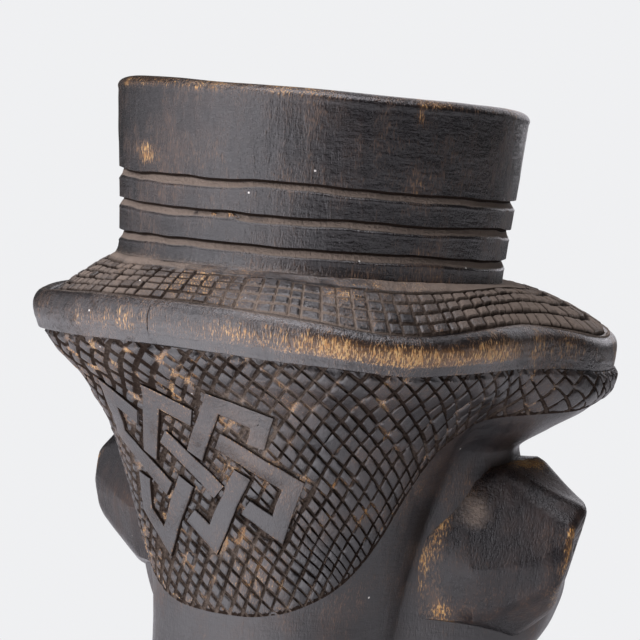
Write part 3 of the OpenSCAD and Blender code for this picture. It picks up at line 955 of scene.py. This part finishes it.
def place_brim_band(u, v):
    b = band_columns()[np.round(u * BAND_COLUMNS).astype(int)]
    at_nape, out, up = band_form(b, v)
    r, z = brim_r(b) + out, lerp(brim_low(b), brim_high(b), up)
    points = at(b, r, z)
    side, face = signed(b), smooth((at_nape + 0.4) / 0.8)
    crack = np.clip(1 - np.abs(side - CRACK_AT) / CRACK_HALF, 0, 1) * smooth((up - 0.12) / 0.15) * face
    jag = 0.25 * uneven(points * [0, 0, 1], 2.2, 75) * hump(side, CRACK_AT, 1.2)
    hand = face * waves(points, (0.24, 15, 71), (0.16, 4, 72)) - CRACK_DEPTH * crack
    points = at(b + jag, r + hand, z + face * 0.3 * uneven(points, 12, 73))
    return points, band_marks(points, side, up, face, crack)


band = bent_grid(BAND_COLUMNS, BAND_ROWS, place_brim_band)
add_piece("carved_brim_band", band, "brim_band", "worn_wood", crease=BAND_CREASE)

# %% [markdown]
# ## Head
#
# The bare head is one closed shell: the underside on the neck, the outside up to the brim, the ledge that
# carries the coiffure, and the hollow for the drink. Its sections are known, so a grid is bent over them
# instead of sculpting a ball. Shallow waves from the blade keep it from looking moulded. Where the
# hatched panel will cover it, it lies a little deeper.

# %% Head
HEAD_COLUMNS = 288
UNDER_ROWS, SKIN_ROWS, LEDGE_ROWS, CUP_ROWS = 4, 130, 4, 44
SKIN_END = UNDER_ROWS + SKIN_ROWS
HEAD_ROWS = SKIN_END + LEDGE_ROWS + CUP_ROWS
CUP_WALL, CUP_DUST, COVER_SINK = 0.2, 0.25, 0.6
PANEL_END = 136
PANEL_EDGE = np.array([  # lower edge of the hatched panel: angle from the nape, height
    [0, 80], [15, 80.2], [30, 81.6], [42, 84.3], [52, 88], [60, 93.3], [66, 100], [70, 107], [75, 114.5],
    [82, 121], [95, 125.5], [115, 127.5], [136, 129], [180, 130]])


def panel_low(b):
    return curve(PANEL_EDGE, 1, turn(b))


def skin_wear(points):
    """How far the stain of the bare skin is rubbed, in broad soft patches."""
    return 0.08 * smooth(uneven(points, 18, 83)) - 0.06


def place_head(u, v):
    b, row = u * 360, np.round(v * HEAD_ROWS)
    low = brim_low(b)
    under, skin = part(row, 0, UNDER_ROWS), part(row, UNDER_ROWS, SKIN_ROWS)
    ledge, cup = part(row, SKIN_END, LEDGE_ROWS), part(row, SKIN_END + LEDGE_ROWS, CUP_ROWS)
    z_skin = lerp(HEAD_Z, low, skin)
    r_skin = head_r(b, z_skin)
    r_skin = np.where(ledge > 0, lerp(r_skin, bowl_at(low), ledge), r_skin * under)
    z_wall = lerp(low, BOWL_SHOULDER, cup / CUP_WALL)
    a = np.clip((cup - CUP_WALL) / (1 - CUP_WALL), 0, 1) * math.pi / 2
    z_cup = np.where(cup < CUP_WALL, z_wall, BOWL_SHOULDER - (BOWL_SHOULDER - BOWL_FLOOR) * np.sin(a))
    r_cup = np.where(cup < CUP_WALL, bowl_at(z_wall), BOWL_R * np.cos(a))
    inside, outside = cup > 0, (skin > 0) & (ledge == 0)
    z = np.where(inside, z_cup, z_skin)
    points = at(b, np.where(inside, r_cup, r_skin), z)
    fade = smooth(skin / 0.05) * smooth((1 - skin) / 0.03)
    hand = outside * fade * waves(points, (0.2, 12, 81), (0.07, 4, 82))
    covered = outside & (turn(b) < PANEL_END - 1) & (z_skin > panel_low(b) + 1)
    hand = np.where(covered, -COVER_SINK, hand)
    points = at(b, np.where(inside, r_cup, r_skin + hand), z)
    return points, dict(wear=outside * skin_wear(points), dust=np.where(inside, CUP_DUST, 0.0))


head = bent_grid(HEAD_COLUMNS, HEAD_ROWS, place_head)
add_piece("carved_head", head, "head", "stained_wood")

# %% [markdown]
# ## Lines of the nape panel
#
# Two families of knife lines cross on the nape and leave flat lozenges between them. If the mesh ran
# straight up and round, slanting cuts would look like stairs, so here the grid itself runs along the
# lines: one of its axes counts the rising lines, the other the falling ones.

# %% Lines of the nape panel
RISING, FALLING = (-28, 28), (-16, 44)
RISING_STEP, FALLING_STEP, LINE_Z = 5.2, 3.4, 108


def mm_per_deg(b, z):
    return head_r(b, np.clip(z, HEAD[0, 0], HEAD[-1, 0])) * math.pi / 180


def crossing(rising, falling):
    """Angle and height where two lines of the hatching cross."""
    start = RISING_STEP * rising
    steep = np.clip(1.2 + 0.012 * start, 0.9, 1.9)
    level = LINE_Z + FALLING_STEP * falling
    shallow = lerp(0.45, 0.66, smooth((level - 95) / 45))
    b = (start * steep + level - LINE_Z) / (steep + shallow)
    return b, level - shallow * b


def inside_panel(b, z):
    """Distance in mm from the lower edge, the top and the ends, with the lower edge's slope."""
    k = mm_per_deg(b, z)
    grade = (panel_low(b + 0.05) - panel_low(b - 0.05)) / 0.1 / k
    lower = (z - panel_low(b)) / np.hypot(1, grade)
    return lower, brim_low(b) - z, (PANEL_END - np.abs(b)) * k, grade, k


print("panel lines:", RISING[1] - RISING[0], "rising,", FALLING[1] - FALLING[0], "falling")

# %% [markdown]
# ## Routes of the knot
#
# The knot's straps lie on the panel, and the hatching has to stop short of them. So their centre lines
# come first, corner by corner, with the distance of any point from the nearest strap's edge.

# %% Routes of the knot
STRAPS = [  # angle and height of each corner
    [[-1.6, 113.9], [8, 125.9], [21.4, 122.9], [19.3, 117.6]], [[-21.5, 112.2], [-12, 125.2], [0, 122]],
    [[7.6, 117.8], [31, 109.8], [27, 100], [15.6, 104.2]], [[14.8, 111.2], [1.8, 95.8], [-7.4, 100.4]],
    [[-7.2, 107.8], [-22.5, 93.3], [-32.3, 99.4], [-28.4, 107.2]],
    [[-15.6, 105.4], [-35.5, 115.6], [-30.6, 124.3], [-21.2, 120]], [[-12.8, 116.8], [5.6, 106.6]]]
STRAP_W = 3.9


def strap_distance(b, z):
    """Distance in mm from the edge of the nearest strap, less than 0 on it."""
    k = mm_per_deg(0 * b, z)
    nearest = np.full(len(b), 99.0)
    for route in STRAPS:
        for i, ((b0, z0), (b1, z1)) in enumerate(zip(route, route[1:])):
            along = np.array([(b1 - b0) * float(mm_per_deg(b0, z0)), z1 - z0])
            length = np.hypot(*along)
            along = along / length
            x, y = (b - b0) * k, z - z0
            run, side = x * along[0] + y * along[1], np.abs(y * along[0] - x * along[1])
            before = 0 if i == 0 else STRAP_W / 2
            after = 0 if i == len(route) - 2 else STRAP_W / 2
            here = np.maximum(side - STRAP_W / 2, np.maximum(-run - before, run - length - after))
            nearest = np.minimum(nearest, here)
    return nearest


print("knot:", len(STRAPS), "straps,", STRAP_W, "mm wide")

# %% [markdown]
# ## Relief of the nape panel
#
# Each lozenge is tilted a little by itself and slightly domed, as the knife leaves it. The cuts are wide
# on the left and finer on the right. Beside the straps of the knot the ground is cut away, and a groove
# runs along the panel's rim.

# %% Relief of the nape panel
PANEL_T, TOP_RISE, GROOVE_FALL, FLOOR = 0.5, 0.5, 0.85, 0.12
KNOT_SINK, KNOT_REACH, DOME, TILT = 0.12, 4, 0.16, 0.28
WIDE_CUT, FINE_CUT, RISING_W, FALLING_W = 1.35, 0.72, 3.1, 2.9
RIM_GROOVE = ([0, 0.15, 0.6, 0.8], [0.3, FLOOR, FLOOR, PANEL_T])  # distance from the rim, height


def lozenge_lean(points, rising, falling):
    """How far a lozenge's top stands over or under the panel's even height."""
    tilt = np.random.default_rng(93).uniform(-1, 1, (3, 64, 64))
    cell = np.floor(rising).astype(int) % 64, np.floor(falling).astype(int) % 64
    across, along = rising % 1, falling % 1
    lean = TILT * (tilt[0][cell] * (across - 0.5) + tilt[1][cell] * (along - 0.5)) + 0.08 * tilt[2][cell]
    return lean + DOME * bow(2 * across - 1) * bow(2 * along - 1) + 0.05 * uneven(points, 1.2, 90) - 0.05


def panel_height(b, z, rising, falling):
    """Height over the bare head, how deep a point lies in the cuts, and its distance from the lower rim."""
    points = at(b, head_r(b, z), z)
    lower, top, end, _, _ = inside_panel(b, z)
    rim = np.minimum(lower, np.minimum(top, end))
    strap = strap_distance(b, z)
    among = smooth(1 - strap / KNOT_REACH)
    rise = TOP_RISE * smooth(lower / 6) * smooth((top + 0.4) / 1.2) - KNOT_SINK * among
    width = lerp(WIDE_CUT, FINE_CUT, smooth((b + 35) / 65)) + 0.25 * among
    ragged = 0.25 * uneven(points, 2.4, 99)
    rising_w = width + ragged + 0.3 * uneven(points, 8, 91)
    falling_w = 0.75 * width + 0.15 + ragged + 0.3 * uneven(points, 8, 92)
    cut = np.maximum(v_cut(rising, RISING_W, rising_w), v_cut(falling, FALLING_W, falling_w)) ** 0.6
    depth = lerp(0.4, GROOVE_FALL, smooth(lower / 6)) * (1 + 0.25 * uneven(points, 6, 94))
    height = PANEL_T + rise + lozenge_lean(points, rising, falling) * (1 - cut) - depth * cut
    beside = FLOOR + np.clip(strap - 0.35, 0, None) * 2.8
    height = np.where(strap < -0.15, PANEL_T, np.minimum(height, beside))
    border = np.interp(rim, *RIM_GROOVE)
    height = np.where(rim < RIM_GROOVE[0][-1], np.minimum(height, border), height)
    groove = np.maximum(cut, smooth(1 - strap / 0.8) * (strap > -0.1))
    return np.maximum(height, FLOOR), groove, lower


print("panel stands", PANEL_T, "to", PANEL_T + TOP_RISE, "mm over the head")

# %% [markdown]
# ## Sheet of the nape panel
#
# Faces outside the panel are deleted, and the points left on the rim are moved onto the panel's true
# outline. Inside the block the sheet's edges meet in one line, so the piece is closed.

# %% Sheet of the nape panel
CORE_R, CORE_Z, CORE_STEP, SKIRT = 31.0, 105.0, 3.0, 5.0
HATCH_PUSH = 0.12


def hatched_sheet():
    """The grid along the knife lines, cut to the panel's outline; its points hold angle and height."""
    r_count, f_count = RISING[1] - RISING[0], FALLING[1] - FALLING[0]
    r_lines, f_lines = line_steps(r_count), line_steps(f_count)
    sheet, u, v = flat_grid(len(r_lines) - 1, len(f_lines) - 1)
    rising = r_lines[np.round(u * (len(r_lines) - 1)).astype(int)]
    falling = f_lines[np.round(v * (len(f_lines) - 1)).astype(int)]
    b, z = crossing(pushed(rising, r_count, HATCH_PUSH, 95) + RISING[0],
                    pushed(falling, f_count, HATCH_PUSH, 96) + FALLING[0])
    flat = np.stack([b * 0.65, z, 0 * b], axis=-1)
    b = b + 0.5 * uneven(flat, 9, 97)
    z = z + 0.35 * uneven(flat, 9, 98)
    lower, top, end, _, _ = inside_panel(b, z)
    rim = np.minimum(lower, np.minimum(top, end))
    outside = [f for f in sheet.faces if sum(rim[c.index] for c in f.verts) < 0]
    put(sheet, np.stack([b, z, 0 * b], axis=-1) / MM, rising=rising, falling=falling)
    bmesh.ops.delete(sheet, geom=outside, context="FACES")
    return sheet


def snap_to_outline(b, z, on_rim):
    lower, top, end, grade, k = inside_panel(b, z)
    slant = np.hypot(1, grade)
    by_lower = on_rim & (np.abs(lower) <= np.minimum(np.abs(top), np.abs(end)))
    by_top = on_rim & ~by_lower & (np.abs(top) <= np.abs(end))
    by_end = on_rim & ~by_lower & ~by_top
    b = b + np.where(by_lower, lower * grade / slant / k, 0)
    z = z - np.where(by_lower, lower / slant, 0)
    z = np.where(by_top, brim_low(b), z)
    return np.where(by_end, np.sign(b) * PANEL_END, b), z


def close_inside(sheet):
    """Turns the sheet's edge into the block and joins it along a line at the panel's middle height."""
    for inwards, to_core in ((SKIRT, False), (0, True)):
        rim = [e for e in sheet.edges if e.is_boundary]
        turned = bmesh.ops.extrude_edge_only(sheet, edges=rim)["geom"]
        inner = [g for g in turned if isinstance(g, bmesh.types.BMVert)]
        b, r, z = polar(np.array([v.co for v in inner]) / MM)
        r = r - inwards
        if to_core:
            b, r, z = np.round(b / CORE_STEP) * CORE_STEP, 0 * r + CORE_R, 0 * z + CORE_Z
        for vert, place in zip(inner, at(b, r, z) * MM):
            vert.co = place
    bmesh.ops.remove_doubles(sheet, verts=inner, dist=WELD)
    close_holes(sheet)


panel = hatched_sheet()
print("panel sheet:", len(panel.faces), "faces inside the outline")

# %% [markdown]
# ## Wear of the nape panel
#
# The cuts are darkened, with dust over them: little under the brim on the left, more lower down. A dark
# line along the lower rim is painted shade under the panel's step. Here and there bare crumbs of wood sit
# in a cut. On the right the stain is whole.


# %% Carve the nape panel
def panel_marks(points, b, z, groove, lower):
    edge, in_cut = hump(groove, 0.22, 0.2), smooth(groove * 1.6)
    crumbs = in_cut * smooth(1.6 * uneven(points, 2.6, 100) - 0.1)
    whole = smooth((b - 20) / 25)
    wear = 0.02 - 0.10 * whole + 0.12 * edge + 0.12 * hump(lower, 1.1, 0.5) + 0.42 * crumbs
    under_brim = smooth((z - 112) / 12) * smooth((10 - b) / 25)
    filled = 0.36 - 0.2 * under_brim + 0.10 * smooth((100 - z) / 12)
    dust = 0.06 - 0.10 * whole + filled * in_cut + 0.12 * uneven(points, 3, 89) + 0.14 * crumbs
    # The cuts are darkened; a line along the lower rim is painted shade under the panel's step.
    grime = (0.85 - 0.7 * crumbs) * in_cut + smooth(1.5 - lower / 0.6)
    return dict(wear=wear, dust=dust, grime=grime)


def carve_panel(sheet):
    b, z, _ = points_of(sheet).T
    layers = sheet.verts.layers.float
    rising, falling = (np.array([v[layers[name]] for v in sheet.verts]) for name in ("rising", "falling"))
    b, z = snap_to_outline(b, z, np.array([v.is_boundary for v in sheet.verts]))
    height, groove, lower = panel_height(b, z, rising, falling)
    points = at(b, head_r(b, z) + height, z)
    put(sheet, points, **panel_marks(points, b, z, groove, lower))
    close_inside(sheet)


carve_panel(panel)
add_piece("carved_nape_panel", panel, "nape_panel", "hatched_wood",
          crease=PANEL_CREASE, weld=False)

# %% [markdown]
# ## Interlace
#
# The knot is made of plain straps that pass over and under each other; where one goes under, it stops at
# its neighbour's edge. A bevelled curve could make a strap, but it would not keep the corners sharp. So
# the route is walked in short steps, with the way to the strap's left edge at each, mitred at the
# corners.

# %% Route of a strap
STRAP_STEP = 0.6


def heading(p, q):
    """Direction in mm from one corner of a route to the next."""
    k = float(mm_per_deg((p[0] + q[0]) / 2, (p[1] + q[1]) / 2))
    way = np.array([(q[0] - p[0]) * k, q[1] - p[1]])
    return way / np.hypot(*way)


def left_of(way):
    return np.array([-way[1], way[0]])


def strap_path(route):
    """Points along a strap with the step to its left edge at each, mitred at the corners."""
    places, sides = [], []
    last = len(route) - 2
    for i, (p, q) in enumerate(zip(route, route[1:])):
        way = heading(p, q)
        before = way if i == 0 else heading(route[i - 1], p)
        after = way if i == last else heading(q, route[i + 2])
        length = math.hypot((q[0] - p[0]) * float(mm_per_deg(p[0], p[1])), q[1] - p[1])
        count = math.ceil(length / STRAP_STEP)
        for s in range(count + (i == last)):
            other = before if s == 0 else after if s == count else way
            mitre = left_of(way) + left_of(other)
            mitre = mitre / np.linalg.norm(mitre)
            places.append(lerp(np.array(p), np.array(q), s / count))
            sides.append(mitre * STRAP_W / 2 / (mitre @ left_of(way)))
    return np.array(places), np.array(sides)


print("places along the straps:", [len(strap_path(route)[0]) for route in STRAPS])

# %% [markdown]
# ## Straps of the knot
#
# A strap is flat on top, with shoulders rounded by wear, and its foot is sunk into the panel. Its walls
# are darkened with painted shade. A grid with one column for each point of that section is laid along
# the route and closed at both ends.

# %% Sweep the straps
STRAP_SECTION = np.array([  # side, height
    [0, -0.35], [1, -0.35], [1.03, 0.0], [1.01, 0.35], [0.985, 0.48], [0.93, 0.57], [0.84, 0.605],
    [0.5, 0.62], [0.2, 0.625], [-0.2, 0.625], [-0.5, 0.62],
    [-0.84, 0.605], [-0.93, 0.57], [-0.985, 0.48], [-1.01, 0.35], [-1.03, 0.0], [-1, -0.35]])
TOP_FROM, WALL_TO, STRAP_DUST, WALL_SHADE = 0.3, 0.4, 0.2, 0.8


def sweep_strap(route, number):
    places, sides = strap_path(route)
    strap, u, v = flat_grid(len(STRAP_SECTION), len(places) - 1)
    along = np.round(v * (len(places) - 1)).astype(int)
    around = np.round(u * len(STRAP_SECTION)).astype(int) % len(STRAP_SECTION)
    across, height = STRAP_SECTION[around].T
    centre, side = places[along], sides[along]
    k = mm_per_deg(centre[:, 0], centre[:, 1])
    flat = np.stack([centre[:, 0] * k, centre[:, 1], across * 3 + number * 50], axis=-1)
    reach = across * (1 + 0.10 * uneven(flat, 3.5, 101))
    b = centre[:, 0] + side[:, 0] * reach / k
    z = centre[:, 1] + side[:, 1] * reach
    lift = height + np.where(height > TOP_FROM, 0.06 * uneven(flat, 5, 102), 0)
    wear = 0.03 + 0.20 * hump(np.abs(across), 0.95, 0.06) * (height > TOP_FROM)
    # Painted shade darkens the walls; on top, grime dulls the strap in patches.
    grime = np.where(height < WALL_TO, WALL_SHADE, 0.3 * smooth(1.3 * uneven(flat, 7, 103)))
    put(strap, at(b, head_r(b, z) + PANEL_T + lift, z), wear=wear, dust=STRAP_DUST, grime=grime)
    bmesh.ops.remove_doubles(strap, verts=strap.verts, dist=WELD)
    close_holes(strap)
    return strap


knot = bmesh.new()
for number, route in enumerate(STRAPS):
    strap = sweep_strap(route, number)
    holder = bpy.data.meshes.new("strap_holder")
    strap.to_mesh(holder)
    strap.free()
    knot.from_mesh(holder)
    bpy.data.meshes.remove(holder)
add_piece("carved_interlace", knot, "nape_interlace", "hatched_wood",
          crease=PANEL_CREASE, weld=False)

# %% [markdown]
# ## Ears
#
# The ears are stout lugs, trimmed with a few flat strokes, so they have facets with soft ridges. A
# sculpted ear would lose the facets, so each starts from three loops of nine points: the root inside the
# head, the shoulder and the outer face. Bridges join them, the outer face is inset into rings with fine
# cuts between them, and a small bevel softens the ridges.

# %% Ear block
EAR = np.array([
    [[-26, 0, 107], [-26, 0, 93], [-26, -1, 80.5], [-26, -14, 78.5], [-26, -26, 81],
     [-26, -32, 90], [-26, -32, 104], [-26, -24, 113], [-26, -9, 113]],
    [[-45, -3, 106], [-45, -3.5, 93.5], [-45, -7, 81.5], [-49.5, -16, 78], [-47, -26, 80],
     [-46, -33, 90], [-47, -34, 102], [-48.5, -24, 115.3], [-46, -11, 113]],
    [[-62, -12.5, 103], [-61.9, -11.4, 96.5], [-60.2, -11.2, 91], [-57.5, -15, 85.5], [-54, -23.5, 84.5],
     [-54, -28.5, 91], [-56.5, -28.5, 101], [-59.5, -24, 106.3], [-61.8, -18.5, 107]]])
EAR_RINGS = [  # inset, depth
    (1.5, 0), (0.3, -0.5), (0.3, 0.5), (1.4, 0), (0.3, -0.5), (0.3, 0.5), (1.3, 0), (0.3, -0.4)]
RIDGES_FROM, RIDGE_SOFTNESS, EAR_CUTS = -40, 1.8, 4


def ear_block():
    block = bmesh.new()
    rings = []
    for loop in EAR:
        verts = [block.verts.new(point * MM) for point in loop]
        rings.append([block.edges.new(pair) for pair in zip(verts, verts[1:] + verts[:1])])
    for inner, outer in zip(rings, rings[1:]):
        bmesh.ops.bridge_loops(block, edges=inner + outer)
    face = min(close_holes(block), key=lambda f: f.calc_center_median().x)
    ridges = [e for e in block.edges if max(v.co.x for v in e.verts) < RIDGES_FROM * MM]
    for inset, depth in EAR_RINGS:
        bmesh.ops.inset_region(block, faces=[face], thickness=inset * MM, depth=depth * MM,
                               use_even_offset=True)
    bmesh.ops.poke(block, faces=[face])
    bmesh.ops.bevel(block, geom=ridges, offset=RIDGE_SOFTNESS * MM, segments=4, profile=0.5, affect="EDGES",
                    material=-1, clamp_overlap=True)
    bmesh.ops.subdivide_edges(block, edges=block.edges, cuts=EAR_CUTS, use_grid_fill=True)
    bmesh.ops.recalc_face_normals(block, faces=block.faces)
    block.normal_update()
    return block


print("ear:", len(EAR), "loops of", len(EAR[0]), "points")

# %% [markdown]
# ## Strokes and wear of the ears
#
# Two flat strokes lay the back of the ear onto planes. The stain is rubbed off along the back edge of the
# outer face, along the top and where the ear meets the head. A pale patch lies near the head, under a
# corner darkened with painted shade. The left ear is the right one with its x turned round.

# %% Carve the ears
EAR_STROKES = [  # a point on the plane, its outward direction
    ([-45.0, -3.0, 93.5], [-0.325, 0.905, 0.276]), ([-47.0, -4.6, 85.0], [-0.30, 0.80, -0.52])]
EAR_GROW = 0.9
EAR_TOP_EDGE = np.array([[-42, -10.5, 112.5], [-49, -22, 115]])
EAR_SHADE, SHADE_REACH = np.array([-42.0, -8.0, 109.0]), 8.0
EAR_PALE_PATCH, PALE_PATCH_REACH = np.array([-42.6, -3.2, 104.8]), 3.8


def stroke(points, place, way):
    """Lays back onto a plane whatever stands past it."""
    way = np.array(way) / np.linalg.norm(way)
    past = np.clip((points - place) @ way, 0, None)
    return points - past[:, None] * way


def segment_distance(points, start, end):
    way = end - start
    t = np.clip((points - start) @ way / (way @ way), 0, 1)
    return np.linalg.norm(points - start - t[:, None] * way, axis=1)


def around_point(points, middle, reach):
    return hump(np.linalg.norm(points - middle, axis=1), 0, reach)


def ear_marks(points):
    b, r, z = polar(points)
    root = hump(r - head_r(b, z), 0.4, 1.9) * smooth((points[:, 1] + 10) / 4)
    back_edge = np.min([segment_distance(points, p, q) for p, q in zip(EAR[2][:3], EAR[2][1:4])], axis=0)
    top_edge = segment_distance(points, *EAR_TOP_EDGE)
    at_root = lerp(0.6, 0.75, smooth((97 - z) / 6)) * root
    rubbed = 0.75 * hump(back_edge, 0, 1.2) + 0.8 * hump(top_edge, 0, 2.5) + at_root
    # Painted shade darkens a corner near the head.
    shade = around_point(points, EAR_SHADE, SHADE_REACH) * (1 + 0.5 * uneven(points, 4, 115))
    # A pale, matt patch near the head, below that corner.
    pale_patch = around_point(points, EAR_PALE_PATCH, PALE_PATCH_REACH) * (0.85 + 0.4 * uneven(points, 3, 116))
    wear = -0.10 + (0.75 + 0.5 * uneven(points, 5, 114)) * rubbed
    return dict(wear=wear, dust=0.2 * root + 0.95 * pale_patch, grime=0.34 * shade)


for side, sign in (("right", 1), ("left", -1)):
    ear = ear_block()
    points = points_of(ear) / MM
    normals = np.array([vert.normal for vert in ear.verts])
    hand = EAR_GROW + waves(points, (0.2, 11, 111), (0.04, 4, 112))
    carved = points + normals * hand[:, None]
    for place, way in EAR_STROKES:
        carved = stroke(carved, place, way)
    put(ear, carved * [sign, 1, 1], **ear_marks(points))
    add_piece(f"carved_{side}_ear", ear, f"{side}_ear", "ear_wood")

# %% [markdown]
# ## Ridges for the face
#
# The picture does not show the face, so it is a calm, plain one. Each feature is a rounded ridge along a
# line on the head. A ridge is a sheet bent over the line, with its edges sunk into the wood and closed
# there.

# %% Ridge
RIDGE_STEPS, RIDGE_AROUND, SINK, NEXT = 90, 40, 3.0, 0.01


def ridge_sheet(spine, detail):
    """A ridge along spine(t), t from -1 to 1, which gives angle, height, half width and rise."""
    sheet, u, v = flat_grid(RIDGE_STEPS, RIDGE_AROUND + 2)
    t = 2 * u - 1
    around = np.round(v * (RIDGE_AROUND + 2)) - 1
    a = np.pi * np.clip(around / RIDGE_AROUND, 0, 1)
    b, z, half, rise = spine(t)
    b_on, z_on, _, _ = spine(np.minimum(t + NEXT, 1))
    b_off, z_off, _, _ = spine(np.maximum(t - NEXT, -1))
    k = mm_per_deg(b, z)
    way = np.stack([(b_on - b_off) * k, z_on - z_off], axis=-1)
    way = way / np.linalg.norm(way, axis=1, keepdims=True)
    across = half * np.cos(a)
    sunk = (around < 0) | (around > RIDGE_AROUND)
    height = np.where(sunk, -SINK, rise * np.sin(a) + detail(t, np.cos(a)) * np.sin(a))
    b, z = b - way[:, 1] * across / k, z + way[:, 0] * across
    r = head_r(b, z) + height
    hand = np.where(sunk, 0, 0.1 * uneven(at(b, r, z), 4, 121))
    edge = hump(np.cos(a), 0, 0.5) * ~sunk
    put(sheet, at(b, r + hand, z), wear=0.16 * edge - 0.06, dust=0.3 * hump(np.abs(np.cos(a)), 1, 0.12))
    close_holes(sheet)
    return sheet


print("ridge:", RIDGE_STEPS, "steps along,", RIDGE_AROUND, "around")

# %% [markdown]
# ## Face
#
# Closed almond eyes lie under arched brows, with a straight nose and full lips. The line of each feature
# is a short function that gives its place, its width and its rise.

# %% Lines of the face
EYE_B, EYE_Z, FRONT_B = 156, 103, 180


def eye_spine(t):
    return EYE_B + 10 * t, EYE_Z + 0 * t, 0.2 + 4.2 * bow(t), 0.1 + 2.6 * bow(t)


def brow_spine(t):
    return EYE_B - 1 + 14 * t, EYE_Z + 10 - 5 * t * t, 2.4 - 1.2 * t * t, 2.2 - 1.4 * t * t


def nose_spine(t):
    s = (t + 1) / 2
    tip = smooth((s - 0.93) / 0.07)
    return FRONT_B + 0 * t, lerp(106, 83.5, s), 2.6 + 6.4 * s * s - tip, lerp(1.5 + 6 * s, 3.5, tip)


def lip_spine(z, half_w, rise, lift):
    return lambda t: (FRONT_B + 13 * t, z + lift * t * t, 0.3 + half_w * bow(t), 0.2 + rise * bow(t))


print("eyes at", EYE_Z, "mm,", FRONT_B - EYE_B, "degrees from the middle")

# %% [markdown]
# ## Cuts in the face
#
# A second function for each feature cuts the lids, the nostrils and the fine lines of the brows into its
# ridge. The features of the left are those of the right with their x turned round.


# %% Carve the face
def no_cut(t, c):
    return 0 * t


def lid_cut(t, c):
    return -0.7 * hump(c, -0.25, 0.1) * bow(t)


def brow_cuts(t, c):
    return -0.4 * v_cut((t + 0.12 * c) * 11, 1.3, 0.5)


def nostrils(t, c):
    wings = 0.9 * hump(np.abs(c), 0.72, 0.2) - 0.9 * hump(np.abs(c), 0.42, 0.12)
    return hump((t + 1) / 2, 0.86, 0.1) * wings


FACE = {
    "right_eye": (eye_spine, lid_cut, 1), "left_eye": (eye_spine, lid_cut, -1),
    "right_brow": (brow_spine, brow_cuts, 1), "left_brow": (brow_spine, brow_cuts, -1),
    "nose": (nose_spine, nostrils, 1), "upper_lip": (lip_spine(77.6, 2.5, 3.4, -1.6), no_cut, 1),
    "lower_lip": (lip_spine(72.4, 2.2, 3.0, 1.2), no_cut, 1),
}
for node, (spine, detail, sign) in FACE.items():
    feature = ridge_sheet(spine, detail)
    bmesh.ops.scale(feature, verts=feature.verts, vec=(sign, 1, 1))
    add_piece(f"carved_{node}", feature, node, "stained_wood", crease=FACE_CREASE, weld=False)

# %% [markdown]
# ## Neck and foot
#
# Both are round and plain, so like the collar they are spun from a section. The neck is nearly straight.
# The foot flares out to a low rim with rounded edges, on which the cup stands.

# %% Sections of the neck and the foot
NECK_R, WAIST_R, NECK_Z, CORE = 28.5, 28.0, 28.0, 14
FOOT_R, FOOT_RIM_H, FOOT_EDGE = 43.0, 8.0, 2.0
UNDER_RINGS, EDGE_ROWS, RIM_ROWS, SIDE_ROWS = (0, 20, 34), 7, 8, 34


def neck_section():
    z = np.linspace(NECK_Z, HEAD_Z, SIDE_ROWS)
    r = np.interp(z, [NECK_Z, lerp(NECK_Z, HEAD_Z, 0.5), HEAD_Z], [WAIST_R, WAIST_R, NECK_R])
    return [(0, NECK_Z), (CORE, NECK_Z)] + list(zip(r, z)) + [(CORE, HEAD_Z), (0, HEAD_Z)]


def foot_section():
    round_edge = [(FOOT_R - FOOT_EDGE + FOOT_EDGE * math.sin(a), FOOT_EDGE - FOOT_EDGE * math.cos(a))
                  for a in np.linspace(0, math.pi / 2, EDGE_ROWS)]
    upper_edge = [(r, FOOT_RIM_H - z) for r, z in reversed(round_edge)]
    wall = [(FOOT_R, z) for z in np.linspace(FOOT_EDGE, FOOT_RIM_H - FOOT_EDGE, RIM_ROWS)[1:-1]]
    start = FOOT_R - 2 * FOOT_EDGE
    flare = [(start - (start - WAIST_R) * math.sin(a), NECK_Z - (NECK_Z - FOOT_RIM_H) * math.cos(a))
             for a in np.linspace(0, math.pi / 2, SIDE_ROWS)]
    under = [(r, 0) for r in UNDER_RINGS]
    return under + round_edge + wall + upper_edge + flare + [(CORE, NECK_Z), (0, NECK_Z)]


print("sections:", len(neck_section()), "points for the neck,", len(foot_section()), "for the foot")

# %% [markdown]
# ## Trim the neck and the foot
#
# The neck is trimmed with long upright strokes, the foot with strokes round its rim, which is rubbed. At
# the joints the strokes fade, so that the members meet without a step.

# %% Trim the neck and the foot
NECK_STROKES, FOOT_STROKES, TRIM_STEPS, JOINT_FADE = 0.2, 2.0, 240, 5
UNDERSIDE, UNDER_DUST, RIM_WEAR = 0.3, 0.4, 0.33


def trimmed(section, strokes, seed):
    """A turned shape with the marks of long blade strokes, squeezed by strokes along z."""
    shape = spun(section, TRIM_STEPS)
    points = points_of(shape) / MM
    b, r, z = polar(points)
    joints = smooth(np.abs(z - NECK_Z) / JOINT_FADE) * smooth(np.abs(z - HEAD_Z) / JOINT_FADE)
    outside = smooth((r - 26) / 1.5) * (z > UNDERSIDE) * joints
    hand = 0.26 * uneven(points * [1, 1, strokes], 8, seed) + 0.08 * uneven(points, 4, seed + 1)
    wear = skin_wear(points) + RIM_WEAR * hump(z, FOOT_RIM_H - 1, 1.6) * smooth((r - 38) / 3)
    put(shape, at(b, r + outside * hand, z), wear=wear, dust=np.where(z < UNDERSIDE, UNDER_DUST, 0.0))
    return shape


add_piece("carved_neck", trimmed(neck_section(), NECK_STROKES, 131), "neck", "stained_wood")
add_piece("carved_foot", trimmed(foot_section(), FOOT_STROKES, 141), "foot", "stained_wood")
